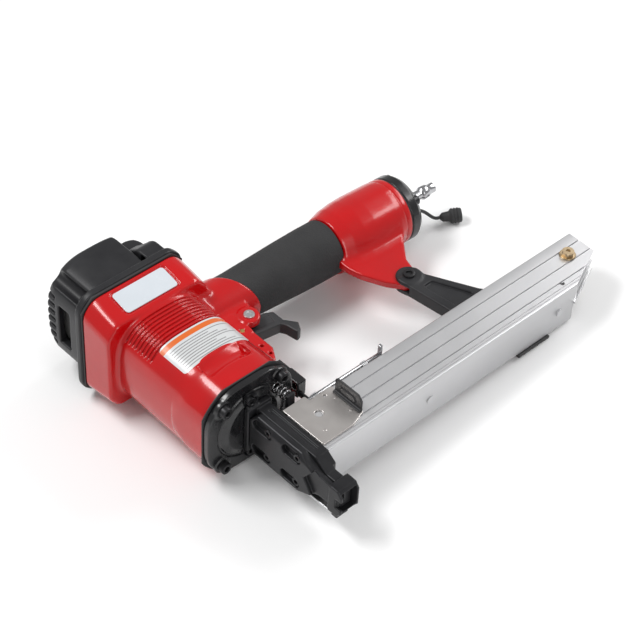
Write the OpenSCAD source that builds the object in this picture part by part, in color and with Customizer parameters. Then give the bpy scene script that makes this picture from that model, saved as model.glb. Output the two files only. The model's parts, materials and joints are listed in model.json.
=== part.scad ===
// Pneumatic crown stapler for flooring work, lying on its side.
// Every module is drawn in the tool's own axes and then laid down by rest_pose():
//   X runs along the driving direction, positive towards the work face,
//   Y runs from the driving axis to the rear end of the magazine,
//   Z is the tool's thickness, with the driving axis at y = 0, z = 0.

/* [Rest pose] */
// Lean of the magazine's rear end towards the surface, degrees
rest_lean = 3.81; // [0:0.01:9]
// Dip of the nose towards the surface, degrees
rest_dip = 3.85; // [0:0.01:6]
// Shift that puts the bounding box's bottom centre at the origin, X
rest_shift_x = 71.11; // [-200:0.01:200]
// Shift along Y
rest_shift_y = -138.49; // [-300:0.01:300]
// Lift above the surface
rest_shift_z = 43.06; // [0:0.01:100]

/* [Housing] */
// Half width of the barrel casting
barrel_half = 42; // [41.5:0.5:43]
// Radius that rounds the barrel's corners
barrel_round = 46.5; // [45.5:0.5:47]
// Radius of the bore for the cylinder sleeve
bore_r = 36; // [35.5:0.1:36.5]
// Half width of the head at the rear cap
head_half = 50.5; // [50:0.5:52]
// Radius that rounds the head's corners
head_round = 64; // [62:0.5:66]
// Rear face of the head
head_rear = -168; // [-170:0.5:-167]
// Front edge of the head
head_front = -136; // [-138:0.5:-134]
// Slope of the head's name plate face, degrees
head_slope = 12; // [8:0.5:14]
// Half width of the flange at the front cover
flange_half = 43.5; // [43:0.5:45]
// Front face of the housing
housing_front = -34; // [-35:0.5:-33]

/* [Handle] */
// Place of the handle's axis at the driving axis
handle_x = -140.3; // [-142:0.1:-138]
// Lean of the handle towards the magazine, degrees
handle_lean = 1.75; // [0:0.05:3]
// Radius of the handle tube under the grip
handle_core_r = 17.5; // [17:0.5:19]
// Radius of the grip at the trigger
grip_front_r = 22; // [21:0.5:24]
// Radius of the grip at the bell
grip_rear_r = 25; // [23:0.5:25.5]
// Where the grip ends at the bell
grip_end = 179; // [175:1:182]
// Radius of the bell
bell_r = 30; // [28:0.5:31]
// Rear face of the bell
bell_end = 252; // [248:1:254]

/* [Magazine] */
// Depth of the magazine along the drive
mag_depth = 47; // [47:0.5:48]
// Half thickness of the magazine
mag_half = 19.6; // [19.4:0.1:20]
// Front end of the magazine
mag_front = 11.4; // [11.4:0.1:12]
// Rear end of the magazine
mag_end = 331; // [326:1:334]
// Wall of the extrusion
mag_wall = 1.6; // [1.5:0.1:2]

/* [Stroke] */
// Travel of the piston and the driver blade
stroke = 76; // [60:1:76]
// Radius of the cylinder bore
cylinder_r = 25; // [24:0.5:25]

/* [Hidden] */
$fn = 64;
eps = 0.02;
fit = 0.06;
gap = 0.35;

// Rear cap
cap_joint = head_rear - 2;
rim_half = 52;
rim_round = 66;
cap_seat = cap_joint - 6;
cap_rear = -222;
cap_screw = 38;
stop_r = 11;
screw_r = 3;
// Flange and front cover
flange_round = 49.5;
flare_start = -70;
flare_full = -46;
cover_screw_y = 28.5;
cover_screw_z = 30.5;
cover_joint = housing_front + 1;
cover_face = cover_joint + 6;
spring_y = 25;
spring_z = 20;
spring_pocket_r = 5.2;
// Cylinder, piston and blade
sleeve_rear = -139;
sleeve_front = -38;
sleeve_r = cylinder_r + 2.8;
seal_depth = 2.4;
piston_rear = -138;
piston_h = 10;
ring_h = 3.2;
blade_half = 6.3;
blade_slot = blade_half + 0.3;
blade_t = 1.8;
blade_tip = -1;
blade_pin_x = piston_rear + 8.2;
blade_pin_r = 1.2;
// Nose
base_front = cover_face + 8;
nose_end = 75;
nose_back = mag_front;
nose_front = -9.3;
nose_face_z = 19.6;
foot_end = 82;
foot_rear = 68;
base_screw_y = -4;
base_screw_z = 27;
base_seat = base_front - 6;
// Trigger and its valve
trigger_x = -95;
trigger_y = 51;
trigger_half = 5.6;
cheek_in = 7;
cheek_out = 12;
valve_x = -104;
valve_y = 70;
valve_r = 8;
side_screw_y = 66;
// Arm between bell and magazine
arm_x = -60;
arm_y = 203;
arm_pin_r = 4;
arm_half = 6;
lug_half = 3;
arm_screw_ys = [199, 236];
arm_screw_r = 2.2;
arm_screw_head = 3.6;
// Air inlet
plug_y = 266;

// ---------- placing helpers ----------

module rest_pose()
    translate([rest_shift_x, rest_shift_y, rest_shift_z])
        rotate([-rest_lean, rest_dip, 0]) children();

module x_rod(r, x0, x1) translate([x0, 0, 0]) rotate([0, 90, 0]) cylinder(r = r, h = x1 - x0);
module y_rod(r, y0, y1) translate([0, y0, 0]) rotate([-90, 0, 0]) cylinder(r = r, h = y1 - y0);
module z_rod(r, z0, z1) translate([0, 0, z0]) cylinder(r = r, h = z1 - z0);
module x_ring(ro, ri, x0, x1) difference() {
    x_rod(ro, x0, x1);
    x_rod(ri, x0 - 1, x1 + 1);
}
// A block between two corners
module block(a, b) translate(a) cube(b - a);
// A solid turned about X: profile points are [along x, radius]
module x_turned(points) rotate([0, 90, 0]) rotate_extrude() polygon([for (p = points) [p[1], p[0]]]);
// A solid turned about Y: profile points are [along y, radius]
module y_turned(points) rotate([-90, 0, 0]) rotate_extrude() polygon([for (p = points) [p[1], p[0]]]);
// A square bar along X whose corners lie on a circle
module squircle(half, round, x0, x1)
    translate([x0, 0, 0]) rotate([90, 0, 90]) linear_extrude(x1 - x0) intersection() {
        square(2 * half, center = true);
        circle(r = round, $fn = 96);
    }
// An outline in X and Y, extruded from z0 to z1
module plate_xy(points, z0, z1) translate([0, 0, z0]) linear_extrude(z1 - z0) polygon(points);
// An outline in X and Z, extruded from y0 to y1
module plate_xz(points, y0, y1)
    translate([0, y1, 0]) rotate([90, 0, 0]) linear_extrude(y1 - y0) polygon(points);
// The four corners of a rectangle in Y and Z
module at_corners(y, z) for (sy = [-1, 1], sz = [-1, 1]) translate([0, sy * y, sz * z]) children();
// The handle's own axis, with Y along it
module on_handle() translate([handle_x, 0, 0]) rotate([0, 0, -handle_lean]) children();
// A socket screw along X, head at x0 and tip towards +X
module x_screw(x0, head_r, head_h, shank_r, shank_l) difference() {
    union() {
        x_rod(head_r, x0 - head_h, x0);
        x_rod(shank_r, x0 - eps, x0 + shank_l);
    }
    x_hex(head_r * 0.55, x0 - head_h - 1, x0 - head_h * 0.45);
}
module x_hex(r, x0, x1)
    translate([x0, 0, 0]) rotate([0, 90, 0]) linear_extrude(x1 - x0) circle(r = r, $fn = 6);
// A coil spring along X as one swept tube
function coil_point(x0, x1, r, turns, t) =
    [x0 + (x1 - x0) * t, r * cos(360 * turns * t), r * sin(360 * turns * t)];
function unit(v) = v / norm(v);
module x_coil(x0, x1, r, wire_r, turns, steps = 14, sides = 6) {
    n = round(turns * steps);
    rings = [for (i = [0:n]) let (
        c = coil_point(x0 + wire_r, x1 - wire_r, r, turns, i / n),
        out = unit([0, c[1], c[2]]),
        pitch = (x1 - x0 - 2 * wire_r) / turns,
        tangent = unit([pitch, -2 * PI * c[2], 2 * PI * c[1]]),
        side = cross(tangent, out)
    ) for (k = [0:sides - 1]) c + wire_r * (cos(360 * k / sides) * out + sin(360 * k / sides) * side)];
    tube(rings, n, sides);
}
// Skin over rings of points: n + 1 rings with the given number of sides
module tube(points, n, sides) polyhedron(points, concat(
    [[for (k = [0:sides - 1]) k]],
    [for (i = [0:n - 1], k = [0:sides - 1]) let (k2 = (k + 1) % sides)
        [i * sides + k, (i + 1) * sides + k, (i + 1) * sides + k2]],
    [for (i = [0:n - 1], k = [0:sides - 1]) let (k2 = (k + 1) % sides)
        [i * sides + k, (i + 1) * sides + k2, i * sides + k2]],
    [[for (k = [sides - 1:-1:0]) n * sides + k]]
), convexity = 8);

// ---------- housing ----------

module on_name_face() translate([head_rear, 0, head_half]) rotate([0, head_slope, 0]) children();

rib_pitch = 3.6;
rib_groove = 1.8;
rib_arc_z = 27;
module head() difference() {
    intersection() {
        squircle(head_half, head_round, head_rear, head_front);
        x_turned([[head_rear, 0], [head_rear, head_round], [head_front, head_round - 5], [head_front, 0]]);
    }
    for (s = [0, 1]) mirror([0, 0, s]) on_name_face() translate([0, -70, 0]) cube([50, 140, 30]);
    on_name_face() block([4.5, -26.5, -1], [27.5, 26.5, 5]);
}
// Band around the barrel, between two distances from its surface
module barrel_band(outer, inner, x0, x1) difference() {
    squircle(barrel_half + outer, barrel_round + outer, x0, x1);
    squircle(barrel_half + inner, barrel_round + inner, x0 - 1, x1 + 1);
}
// Barrel with cooling grooves over its upper and lower arcs
module barrel() difference() {
    squircle(barrel_half, barrel_round, head_front - 2, housing_front);
    for (i = [0:8], s = [0, 1]) mirror([0, 0, s]) intersection() {
        translate([head_front + 2.4 + i * rib_pitch, 0, 0]) barrel_band(2, -rib_groove, 0, rib_groove);
        block([head_front, -barrel_round, rib_arc_z], [housing_front, barrel_round, barrel_round + 1]);
    }
}
// Barrel opening out into the square flange
module flange() intersection() {
    squircle(flange_half, flange_round, flare_start, housing_front);
    x_turned([[flare_start, 0], [flare_start, barrel_half - 1], [flare_full, flange_round],
        [housing_front, flange_round], [housing_front, 0]]);
}
// Collar that stands against the grip, cut on a slant above the trigger
grip_slant = 31;
grip_slant_y = 75;
module grip_cut(shift) on_handle()
    translate([0, grip_slant_y + shift, 0]) rotate([0, 0, grip_slant]) translate([-60, 0, -60]) cube([120, 200, 120]);
module neck() difference() {
    on_handle() y_rod(grip_front_r + 1.6, 0, 110);
    grip_cut(0);
}
module bell() on_handle() y_turned([
    [grip_end + 0.2, 0], [grip_end + 0.2, grip_rear_r + 0.8], [grip_end + 11, bell_r - 1],
    [grip_end + 36, bell_r + 1], [bell_end, bell_r], [bell_end, 0]
]);
// Web under the bell that ends in the arm's pivot lug
module arm_lug() {
    plate_xy([[-112, 172], [-100, 172.5], [-88, 175.5], [-68, 185], [arm_x + 5, arm_y - 8],
        [arm_x + 5, arm_y + 8], [-77, 217.5], [-100, 236], [-112, 244]], -lug_half, lug_half);
    translate([arm_x, arm_y, 0]) z_rod(9.5, -lug_half, lug_half);
}
module trigger_cheeks() for (s = [0, 1]) mirror([0, 0, s]) {
    block([-112, 34, cheek_in], [-62, 57.5, cheek_out]);
    translate([-62, 49, 0]) z_rod(8.5, cheek_in, cheek_out);
    block([-62, 34, cheek_in], [-56, 49, cheek_out]);
    translate([valve_x, side_screw_y, 0]) z_rod(9, cheek_in, cheek_out + 2);
    block([-124, 48, cheek_in], [valve_x, 74, cheek_out + 1]);
}
module housing() rest_pose() color("firebrick") difference() {
    union() {
        head();
        barrel();
        flange();
        neck();
        on_handle() y_rod(handle_core_r, 30, grip_end + 2);
        bell();
        arm_lug();
        trigger_cheeks();
    }
    x_rod(bore_r, head_rear - 1, housing_front + 1);
    on_handle() y_rod(13, 30, bell_end - 14);
    on_handle() y_rod(24, bell_end - 22, bell_end + 1);
    translate([0, valve_y, 0]) x_rod(valve_r, -134, -100);
    block([-112, 38, -cheek_in], [-55, 80, cheek_in]);
    translate([trigger_x, trigger_y, 0]) z_rod(2, -30, 30);
    for (x = [-73, -62.5]) translate([x, 52, 0]) z_rod(1.6, -30, 30);
    translate([valve_x, side_screw_y, 0]) z_rod(3.5, cheek_out - 4, 30);
    at_corners(cap_screw, cap_screw) x_rod(screw_r, head_rear - 1, head_rear + 18);
    at_corners(cover_screw_y, cover_screw_z) x_rod(screw_r, housing_front - 14, housing_front + 1);
    on_handle() at_end_screws() y_rod(2.5, bell_end - 12, bell_end + 1);
    translate([arm_x, arm_y, 0]) z_rod(arm_pin_r, -20, 20);
}

// ---------- rear cap ----------

module cap_gasket() rest_pose() color("black") difference() {
    squircle(head_half, head_round, cap_joint, head_rear);
    x_rod(bore_r, cap_joint - 1, head_rear + 1);
    at_corners(cap_screw, cap_screw) x_rod(screw_r + 0.2, cap_joint - 1, head_rear + 1);
}
module cap_shell() {
    squircle(rim_half, rim_round, cap_seat, cap_joint);
    difference() {
        intersection() {
            squircle(46.5, 56, cap_rear, cap_seat + 1);
            x_turned([[cap_rear, 0], [cap_rear, 49], [cap_rear + 8, 56], [cap_seat + 1, 56], [cap_seat + 1, 0]]);
        }
        block([-240, 21, 30], [cap_seat, 60, 60]);
        block([-240, 20, -60], [-204, 60, -30]);
        at_corners(cap_screw + 4, cap_screw + 4) x_rod(10, -240, cap_seat);
    }
    intersection() {
        squircle(50, 60, -204, cap_seat + 1);
        block([-204, 24, 10], [cap_seat + 1, 42, 60]);
    }
}
module rear_cap() rest_pose() color("dimgray") difference() {
    cap_shell();
    difference() {
        squircle(41, 44.5, cap_rear + 5, cap_joint - 9);
        block([cap_rear, 18, 27], [cap_joint, 50, 50]);
    }
    x_rod(stop_r, cap_joint - 20, cap_joint + 1);
    for (a = [0:60:300]) rotate([a, 0, 0]) translate([0, 0, 17.5]) x_rod(4, cap_joint - 20, cap_joint + 1);
    x_ring(33, 24, cap_joint - 4, cap_joint + 1);
    for (z = [-24:8:24]) block([-240, -60, z - 1.8], [cap_rear + 12, -24, z + 1.8]);
    for (z = [-24:8:24]) block([-240, -18, z - 1.8], [cap_rear + 12, 30, z + 1.8]);
    block([-205, -60, -20], [-191, -35, 20]);
    at_corners(cap_screw, cap_screw) x_rod(screw_r + 0.2, cap_seat - 1, cap_joint + 1);
    at_corners(cap_screw, cap_screw) x_rod(6, -240, cap_seat);
}
module cap_screws() rest_pose() color("black")
    at_corners(cap_screw, cap_screw) x_screw(cap_seat, 5, 6, screw_r, 24);
module exhaust_silencer() rest_pose() color("gray") difference() {
    squircle(38, 43.5, cap_rear + 6, cap_rear + 22);
    x_rod(16, cap_rear, cap_rear + 12);
    block([cap_rear, 17, 26], [cap_rear + 30, 50, 50]);
}
module piston_stop() rest_pose() color("black") {
    x_rod(stop_r, cap_joint - 9, cap_joint + 1);
    x_rod(14, cap_joint, piston_rear - 0.4);
}

// ---------- firing valve and cylinder ----------

valve_front = sleeve_rear - gap;
module head_valve() rest_pose() color("silver") difference() {
    x_rod(bore_r - fit, valve_front - 13, valve_front);
    x_rod(18, valve_front - 20, valve_front + 1);
    x_ring(31.5, 24, valve_front - 20, valve_front - 5);
    x_ring(40, bore_r - seal_depth, valve_front - 9.5, valve_front - 6.5);
}
module head_valve_seals() rest_pose() color("black")
    x_ring(bore_r - fit, bore_r - seal_depth, valve_front - 9.4, valve_front - 6.6);
module head_valve_spring() rest_pose() color("silver")
    x_coil(cap_joint - 3.8, valve_front - 5.2, 28.4, 1.3, 3);
module cylinder_sleeve() rest_pose() color("silver") difference() {
    union() {
        x_rod(sleeve_r, sleeve_rear, sleeve_front);
        x_rod(bore_r, -104, -94);
    }
    x_rod(cylinder_r, sleeve_rear - 1, sleeve_front + 1);
    x_ring(bore_r + 1, bore_r - seal_depth, -100.5, -97.5);
    for (a = [0:60:300]) rotate([a, 0, 0]) translate([-62, 0, 20]) z_rod(1.5, 0, 12);
}
module sleeve_seals() rest_pose() color("black") x_ring(bore_r, bore_r - seal_depth, -100.5, -97.5);
module piston() rest_pose() color("silver") difference() {
    x_rod(cylinder_r - fit, piston_rear, piston_rear + piston_h);
    x_ring(cylinder_r + 2, cylinder_r - 2.6, piston_rear + 3.4, piston_rear + 3.4 + ring_h);
    block([piston_rear + 2, -blade_t / 2, -blade_half], [piston_rear + 20, blade_t / 2, blade_half]);
    translate([blade_pin_x, 0, 0]) y_rod(blade_pin_r, -40, 40);
}
module piston_ring() rest_pose() color("black")
    x_ring(cylinder_r - fit, cylinder_r - 2.6, piston_rear + 3.4, piston_rear + 3.4 + ring_h);
module driver_blade() rest_pose() color("silver") difference() {
    block([piston_rear + 2, -blade_t / 2, -blade_half], [blade_tip, blade_t / 2, blade_half]);
    translate([blade_pin_x, 0, 0]) y_rod(blade_pin_r, -40, 40);
}
module blade_pin() rest_pose() color("gray")
    translate([blade_pin_x, 0, 0]) y_rod(blade_pin_r, -20, 20);
module bumper() rest_pose() color("black") difference() {
    x_rod(cylinder_r - 0.2, piston_rear + piston_h + stroke + gap, sleeve_front + 1);
    block([-70, -1.3, -blade_slot], [0, 1.3, blade_slot]);
}

// ---------- front cover and nose ----------

module cover_gasket() rest_pose() color("black") difference() {
    squircle(flange_half, flange_round, housing_front, cover_joint);
    x_rod(bore_r, -60, 0);
    at_corners(cover_screw_y, cover_screw_z) x_rod(screw_r + 0.2, -60, 0);
}
module front_cover() rest_pose() color("black") difference() {
    union() {
        squircle(flange_half, flange_round, cover_joint, cover_face);
        x_rod(bore_r - 0.1, sleeve_front + 1.1, cover_joint + 1);
        x_turned([[cover_face - 1, 0], [cover_face - 1, 30], [cover_face + 3, 25], [cover_face + 3, 0]]);
    }
    block([-70, -1.3, -blade_slot], [0, 1.3, blade_slot]);
    for (s = [0, 1]) mirror([0, 0, s]) block([cover_face, -8.6, 19.9], [cover_face + 9, 2.1, 33]);
    at_corners(cover_screw_y, cover_screw_z) x_rod(screw_r + 0.2, -60, 0);
    at_base_screws() x_rod(2, -60, 0);
    translate([0, spring_y, spring_z]) x_rod(spring_pocket_r, cover_face - 3, cover_face + 9);
}
module cover_screws() rest_pose() color("black") at_corners(cover_screw_y, cover_screw_z)
    translate([2 * cover_face, 0, 0]) mirror([1, 0, 0]) x_screw(cover_face, 5, 6, screw_r, 19);
module at_base_screws() for (s = [-1, 1]) translate([0, base_screw_y, s * base_screw_z]) children();
module nose_guide() rest_pose() color("black") difference() {
    union() {
        block([cover_face + 3, -10, -22], [base_front, 14, 22]);
        for (s = [0, 1]) mirror([0, 0, s]) {
            block([cover_face + eps, -8.5, 20], [base_front - 2, 2, 32]);
        }
        plate_xz([[base_front - 2, -nose_face_z], [46, -nose_face_z], [58, -11], [nose_end, -11],
            [nose_end, 11], [58, 11], [46, nose_face_z], [base_front - 2, nose_face_z]], -1.1, nose_back);
    }
    block([-70, -1.2, -blade_slot], [nose_end + 1, 1.3, blade_slot]);
    block([2, 1, -chan_half], [chan_top, 20, chan_half]);
    at_base_screws() x_rod(2.7, -60, 0);
    at_base_screws() x_rod(4.6, base_seat, 0);
    nose_screw_places() y_rod(2.5, -5, 9);
    block([55, 8, -20], [90, 20, 20]);
}
module nose_base_screws() rest_pose() color("gray") at_base_screws()
    translate([2 * base_seat, 0, 0]) mirror([1, 0, 0]) x_screw(base_seat, 4, 4, 2, 8);
module nose_screw_places() for (x = [1, 33.4], z = [-13, 13]) translate([x, 0, z]) children();
pocket_r = 4.3;
pocket_y = -5.2;
module nose_plate() rest_pose() color("black") difference() {
    union() {
        plate_xz([[-18, -15], [-14, -nose_face_z], [36, -nose_face_z], [50, -13], [50, 13],
            [36, nose_face_z], [-14, nose_face_z], [-18, 15]], nose_front, -1.1);
        plate_xz([[36, -nose_face_z], [56, -10.6], [nose_end, -9], [nose_end, 9], [56, 10.6],
            [36, nose_face_z]], -6, -1.1);
    }
    translate([0, nose_front, nose_face_z - 4]) rotate([-38, 0, 0]) translate([-40, -10, 0]) cube([100, 20, 10]);
    nose_screw_places() {
        y_rod(2.6, -20, 0);
        for (x = [-12, 0]) translate([x, 0, 0]) y_rod(pocket_r, -20, pocket_y);
        block([-12, -20, -pocket_r], [0, pocket_y, pocket_r]);
    }
}
module nose_screws() rest_pose() color("black") nose_screw_places() difference() {
    union() {
        y_rod(3.9, pocket_y - 3.4, pocket_y);
        y_rod(2.5, pocket_y - eps, 8);
    }
    y_rod(2, pocket_y - 4, pocket_y - 1.4);
}

// ---------- safety ----------

yoke_z = -22.6;
yoke_t = 2.5;
yoke_top = yoke_z + yoke_t;
yoke_rear = -9;
strip_y = 50.5;
module contact_foot() rest_pose() color("black") difference() {
    union() {
        plate_xz([[foot_rear, -13.2], [foot_end - 4, -13.2], [foot_end, -8], [foot_end, 9],
            [foot_end - 4, 14.2], [foot_rear, 14.2]], -8.8, 10.2);
        block([foot_rear, -4, yoke_z], [foot_rear + 6, 8, -12]);
    }
    block([foot_rear - 1, -6.5, -11.4], [foot_end + 1, 8.4, 11.4]);
}
module safety_yoke() rest_pose() color("silver") {
    block([yoke_rear, -4, yoke_z], [foot_rear, 8, yoke_top]);
    block([yoke_rear, 8 - eps, yoke_z], [1, strip_y + yoke_t, yoke_top]);
    block([yoke_rear, strip_y, yoke_z], [-1, strip_y + yoke_t, -4]);
    block([-30, strip_y, -9], [-1, strip_y + yoke_t, -4]);
    block([-12, spring_y - 4, yoke_z], [-9.5 + eps, spring_y + 4, spring_z + 4.5]);
    block([-12, spring_y - 4, yoke_z], [yoke_rear + eps, spring_y + 4, yoke_top]);
}
// Bracket beside the cover, with a tongue that slides between the trigger cheeks
module safety_bracket() rest_pose() color("black") difference() {
    union() {
        block([-44, 48.5, -9.5], [-27, 57.5, 6.5]);
        block([-57, 49.5, -6.3], [-43, 56.5, 6.3]);
    }
    block([-41.5, strip_y, -9.6], [-26, strip_y + yoke_t, -3.9]);
    block([-42, 47, -2.5], [-29, 54.5, 4]);
}
module safety_spring() rest_pose() color("silver")
    translate([0, spring_y, spring_z]) x_coil(cover_face - 2.9, -12.1, 4, 0.7, 4.5);

// ---------- trigger and valve ----------

module trigger() rest_pose() color("black") difference() {
    plate_xy([[-101, 46], [-90, 45.5], [-88, 52], [-90, 62], [-86.5, 84], [-82, 86.5], [-70.5, 88.5],
        [-72, 93], [-79, 97], [-89, 89.5], [-101, 89.5], [-105, 82], [-107.4, 67], [-104.5, 56]],
        -trigger_half, trigger_half);
    translate([trigger_x, trigger_y, 0]) z_rod(2.05, -10, 10);
}
module trigger_pin() rest_pose() color("goldenrod")
    translate([trigger_x, trigger_y, 0]) z_rod(2, -cheek_out - 0.6, cheek_out + 0.6);
module valve_body() rest_pose() color("goldenrod") translate([0, valve_y, 0]) difference() {
    x_rod(valve_r, -134, -113);
    x_rod(2.6, -130, -100);
    x_rod(5, -135, -125);
    x_ring(valve_r + 1, 6.6, -120, -117.5);
}
module valve_seals() rest_pose() color("black")
    translate([0, valve_y, 0]) x_ring(valve_r, 6.6, -120, -117.5);
module valve_stem() rest_pose() color("silver") translate([0, valve_y, 0]) {
    x_rod(2.55, -126, -107.8);
    x_rod(4.2, -128, -125.5);
}
module valve_spring() rest_pose() color("silver")
    translate([0, valve_y, 0]) x_coil(-133.8, -128.2, 3.4, 0.5, 3);
module valve_side_screw() rest_pose() color("silver") translate([valve_x, side_screw_y, 0]) difference() {
    union() {
        z_rod(3.5, cheek_out - 4, cheek_out + 2);
        z_rod(4.6, cheek_out + 2, cheek_out + 3.6);
    }
    block([-5, -0.6, cheek_out + 2.6], [5, 0.6, cheek_out + 5]);
}

// ---------- grip, end cap and air plug ----------

module grip_sleeve() rest_pose() color("black") difference() {
    intersection() {
        on_handle() y_turned([[50, 0], [50, grip_front_r], [80, grip_front_r], [135, 24.2],
            [grip_end, grip_rear_r], [grip_end, 0]]);
        grip_cut(0.1);
    }
    on_handle() y_rod(handle_core_r, 30, grip_end + 5);
}
module at_end_screws() for (a = [45:90:315]) rotate([0, a, 0]) translate([24, 0, 0]) children();
module end_cap_gasket() rest_pose() color("black") on_handle() difference() {
    y_rod(bell_r - 0.5, bell_end, bell_end + 1);
    y_rod(19, bell_end - 1, bell_end + 2);
    at_end_screws() y_rod(2.7, bell_end - 1, bell_end + 2);
}
module end_cap() rest_pose() color("black") on_handle() difference() {
    y_turned([[bell_end + 1, 0], [bell_end + 1, bell_r], [bell_end + 9, bell_r], [bell_end + 12, 28],
        [plug_y, 25], [plug_y, 0]]);
    y_rod(6.6, bell_end - 10, plug_y + 5);
    at_end_screws() y_rod(2.7, bell_end - 10, plug_y + 5);
    at_end_screws() y_rod(4.8, bell_end + 9, plug_y + 5);
    translate([11, 0, -1]) y_rod(1.5, plug_y - 6, plug_y + 5);
}
module end_cap_screws() rest_pose() color("black") on_handle() at_end_screws() difference() {
    union() {
        y_rod(2.5, bell_end - 8, bell_end + 9);
        y_rod(4.4, bell_end + 9, bell_end + 15);
    }
    y_rod(2.2, bell_end + 12, bell_end + 16);
}
module air_plug() rest_pose() color("silver") on_handle() difference() {
    union() {
        y_turned([[plug_y - 8, 0], [plug_y - 8, 6.6], [plug_y, 6.6], [plug_y, 9], [plug_y + 1.5, 9],
            [plug_y + 1.5, 0]]);
        translate([0, plug_y + 1.5, 0]) rotate([-90, 0, 0]) linear_extrude(7) circle(r = 8, $fn = 6);
        y_turned([[plug_y + 8.5, 0], [plug_y + 8.5, 6.2], [plug_y + 15, 6.2], [plug_y + 16, 4.4],
            [plug_y + 22, 4.4], [plug_y + 24, 5.9], [plug_y + 30, 5.9], [plug_y + 32, 4.6],
            [plug_y + 38, 4.6], [plug_y + 38, 0]]);
    }
    y_rod(2.8, plug_y - 9, plug_y + 40);
}

// ---------- dust cap on its strap ----------

strap_r = 1.5;
strap_route = [[-121, 260.5, -1], [-121, 266, -1], [-120.8, 270.5, -1.6], [-120.3, 275, -3.4],
    [-119.6, 279.5, -6.4], [-118.9, 284, -10.4], [-118.2, 288, -14.8], [-117.6, 291.5, -18.6],
    [-117.1, 294.5, -21.2], [-116.7, 297.5, -22.8], [-116.2, 300.6, -23.4]];
cap_turn = 35.2;
cap_tilt = 5.4;
function side_of(d) = unit(cross(d, [0, 0, 1]));
module tether_strap() rest_pose() color("black") {
    n = len(strap_route) - 1;
    sides = 8;
    points = [for (i = [0:n]) let (
        d = unit(strap_route[min(i + 1, n)] - strap_route[max(i - 1, 0)]),
        u = side_of(d), v = cross(u, d)
    ) for (k = [0:sides - 1])
        strap_route[i] + strap_r * (cos(360 * k / sides) * u + sin(360 * k / sides) * v)];
    tube(points, n, sides);
}
module dust_cap() rest_pose() color("black")
    translate(strap_route[len(strap_route) - 1]) rotate([cap_tilt, 0, -cap_turn])
        difference() {
            y_turned([[0, 0], [0, 2.4], [2, 4], [8, 4.6], [9, 6.2], [17, 7], [19, 6.2], [19, 0]]);
            y_rod(4.4, 10, 20);
        }

// ---------- support arm ----------

arm_boss_r = 11;
module support_arm() rest_pose() color("black") difference() {
    union() {
        plate_xy([[-62, 193], [-52, 193.5], [-8, 199], [-3, 192], [0, 192], [0, 243], [-3, 243],
            [-12, 236], [-54, 214], [-62, 213]], -arm_half, arm_half);
        translate([arm_x, arm_y, 0]) z_rod(arm_boss_r, -arm_half, arm_half);
    }
    plate_xy([[-80, 185], [-47, 185], [-47, 225], [-80, 225]], -lug_half - 0.1, lug_half + 0.1);
    for (s = [0, 1]) mirror([0, 0, s])
        plate_xy([[-44, 202], [-8, 206], [-8, 229], [-44, 212]], arm_half - 1.6, arm_half + 2);
    translate([arm_x, arm_y, 0]) z_rod(arm_pin_r, -20, 20);
    for (y = arm_screw_ys) translate([0, y, 0]) x_rod(arm_screw_r, -6, 1);
}
module arm_pin() rest_pose() color("gray") translate([arm_x, arm_y, 0]) difference() {
    union() {
        z_rod(arm_pin_r, -arm_half, arm_half);
        z_rod(6.5, arm_half, arm_half + 2.8);
        z_rod(6.5, -arm_half - 2.4, -arm_half);
    }
    translate([0, 0, arm_half + 1.2]) linear_extrude(3) circle(r = 3, $fn = 6);
}
module arm_screws() rest_pose() color("gray") for (y = arm_screw_ys) translate([0, y, 0]) {
    x_rod(arm_screw_r, -6, mag_back - 1);
    x_rod(arm_screw_head, mag_back - 1, mag_back);
}

// ---------- magazine ----------

mag_back = 2.8;
chan_top = 44.6;
chan_half = 7;
bend_x = 27.9;
bend_y = 43;
tongue_y = mag_end - bend_y;
bolt_x = 17.8;
bolt_y = mag_end - 21.5;
bolt_r = 3;
rail_screw_ys = [120, 270];
rail_screw_r = 2;
groove_xs = [11.6, 24.7, 36.8];
module magazine_body() rest_pose() color("lightgray") difference() {
    plate_xy([[0, mag_front], [mag_depth, mag_front], [mag_depth, tongue_y], [bend_x, mag_end], [0, mag_end]],
        -mag_half, mag_half);
    block([mag_back, mag_front - 1, -chan_half], [chan_top, mag_end + 1, chan_half]);
    for (s = [0, 1]) mirror([0, 0, s])
        block([mag_back, mag_front - 1, chan_half + mag_wall], [chan_top, mag_end + 1, mag_half - mag_wall]);
    block([-1, tongue_y, -mag_half - 1], [60, mag_end + 1, 1]);
    for (x = groove_xs, s = [0, 1]) mirror([0, 0, s])
        translate([x, mag_front - 1, mag_half]) rotate([0, 45, 0])
            block([-0.4, 0, -0.4], [0.4, mag_end, 0.4]);
    translate([bolt_x, bolt_y, 0]) z_rod(bolt_r, 0, 30);
    translate([38.3, mag_end - 50.7, 0]) z_rod(2, mag_half - 3, 30);
    for (y = arm_screw_ys) translate([0, y, 0]) {
        x_rod(arm_screw_r, -1, mag_back);
        x_rod(arm_screw_head, mag_back - 1, mag_back + 1);
    }
    translate(plate_rivet) z_rod(plate_rivet_r, 10, 30);
    for (y = rail_screw_ys) translate([0, y, 0]) x_rod(rail_screw_r, 40, 60);
}
rail_x = 20;
rail_half = 4.9;
module staple_rail() rest_pose() color("silver") difference() {
    block([rail_x, mag_front, -rail_half], [chan_top, tongue_y - 2, rail_half]);
    block([rail_x + 1.5, mag_front - 1, -rail_half + 1.5], [chan_top - 1.5, tongue_y, rail_half - 1.5]);
    for (y = rail_screw_ys) translate([0, y, 0]) x_rod(rail_screw_r, 40, 60);
}
module rail_screws() rest_pose() color("silver") for (y = rail_screw_ys) translate([0, y, 0]) {
    x_rod(rail_screw_r, 41, mag_depth);
    x_rod(3.4, mag_depth, mag_depth + 1.2);
}
pusher_rear = mag_front + 30;
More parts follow.
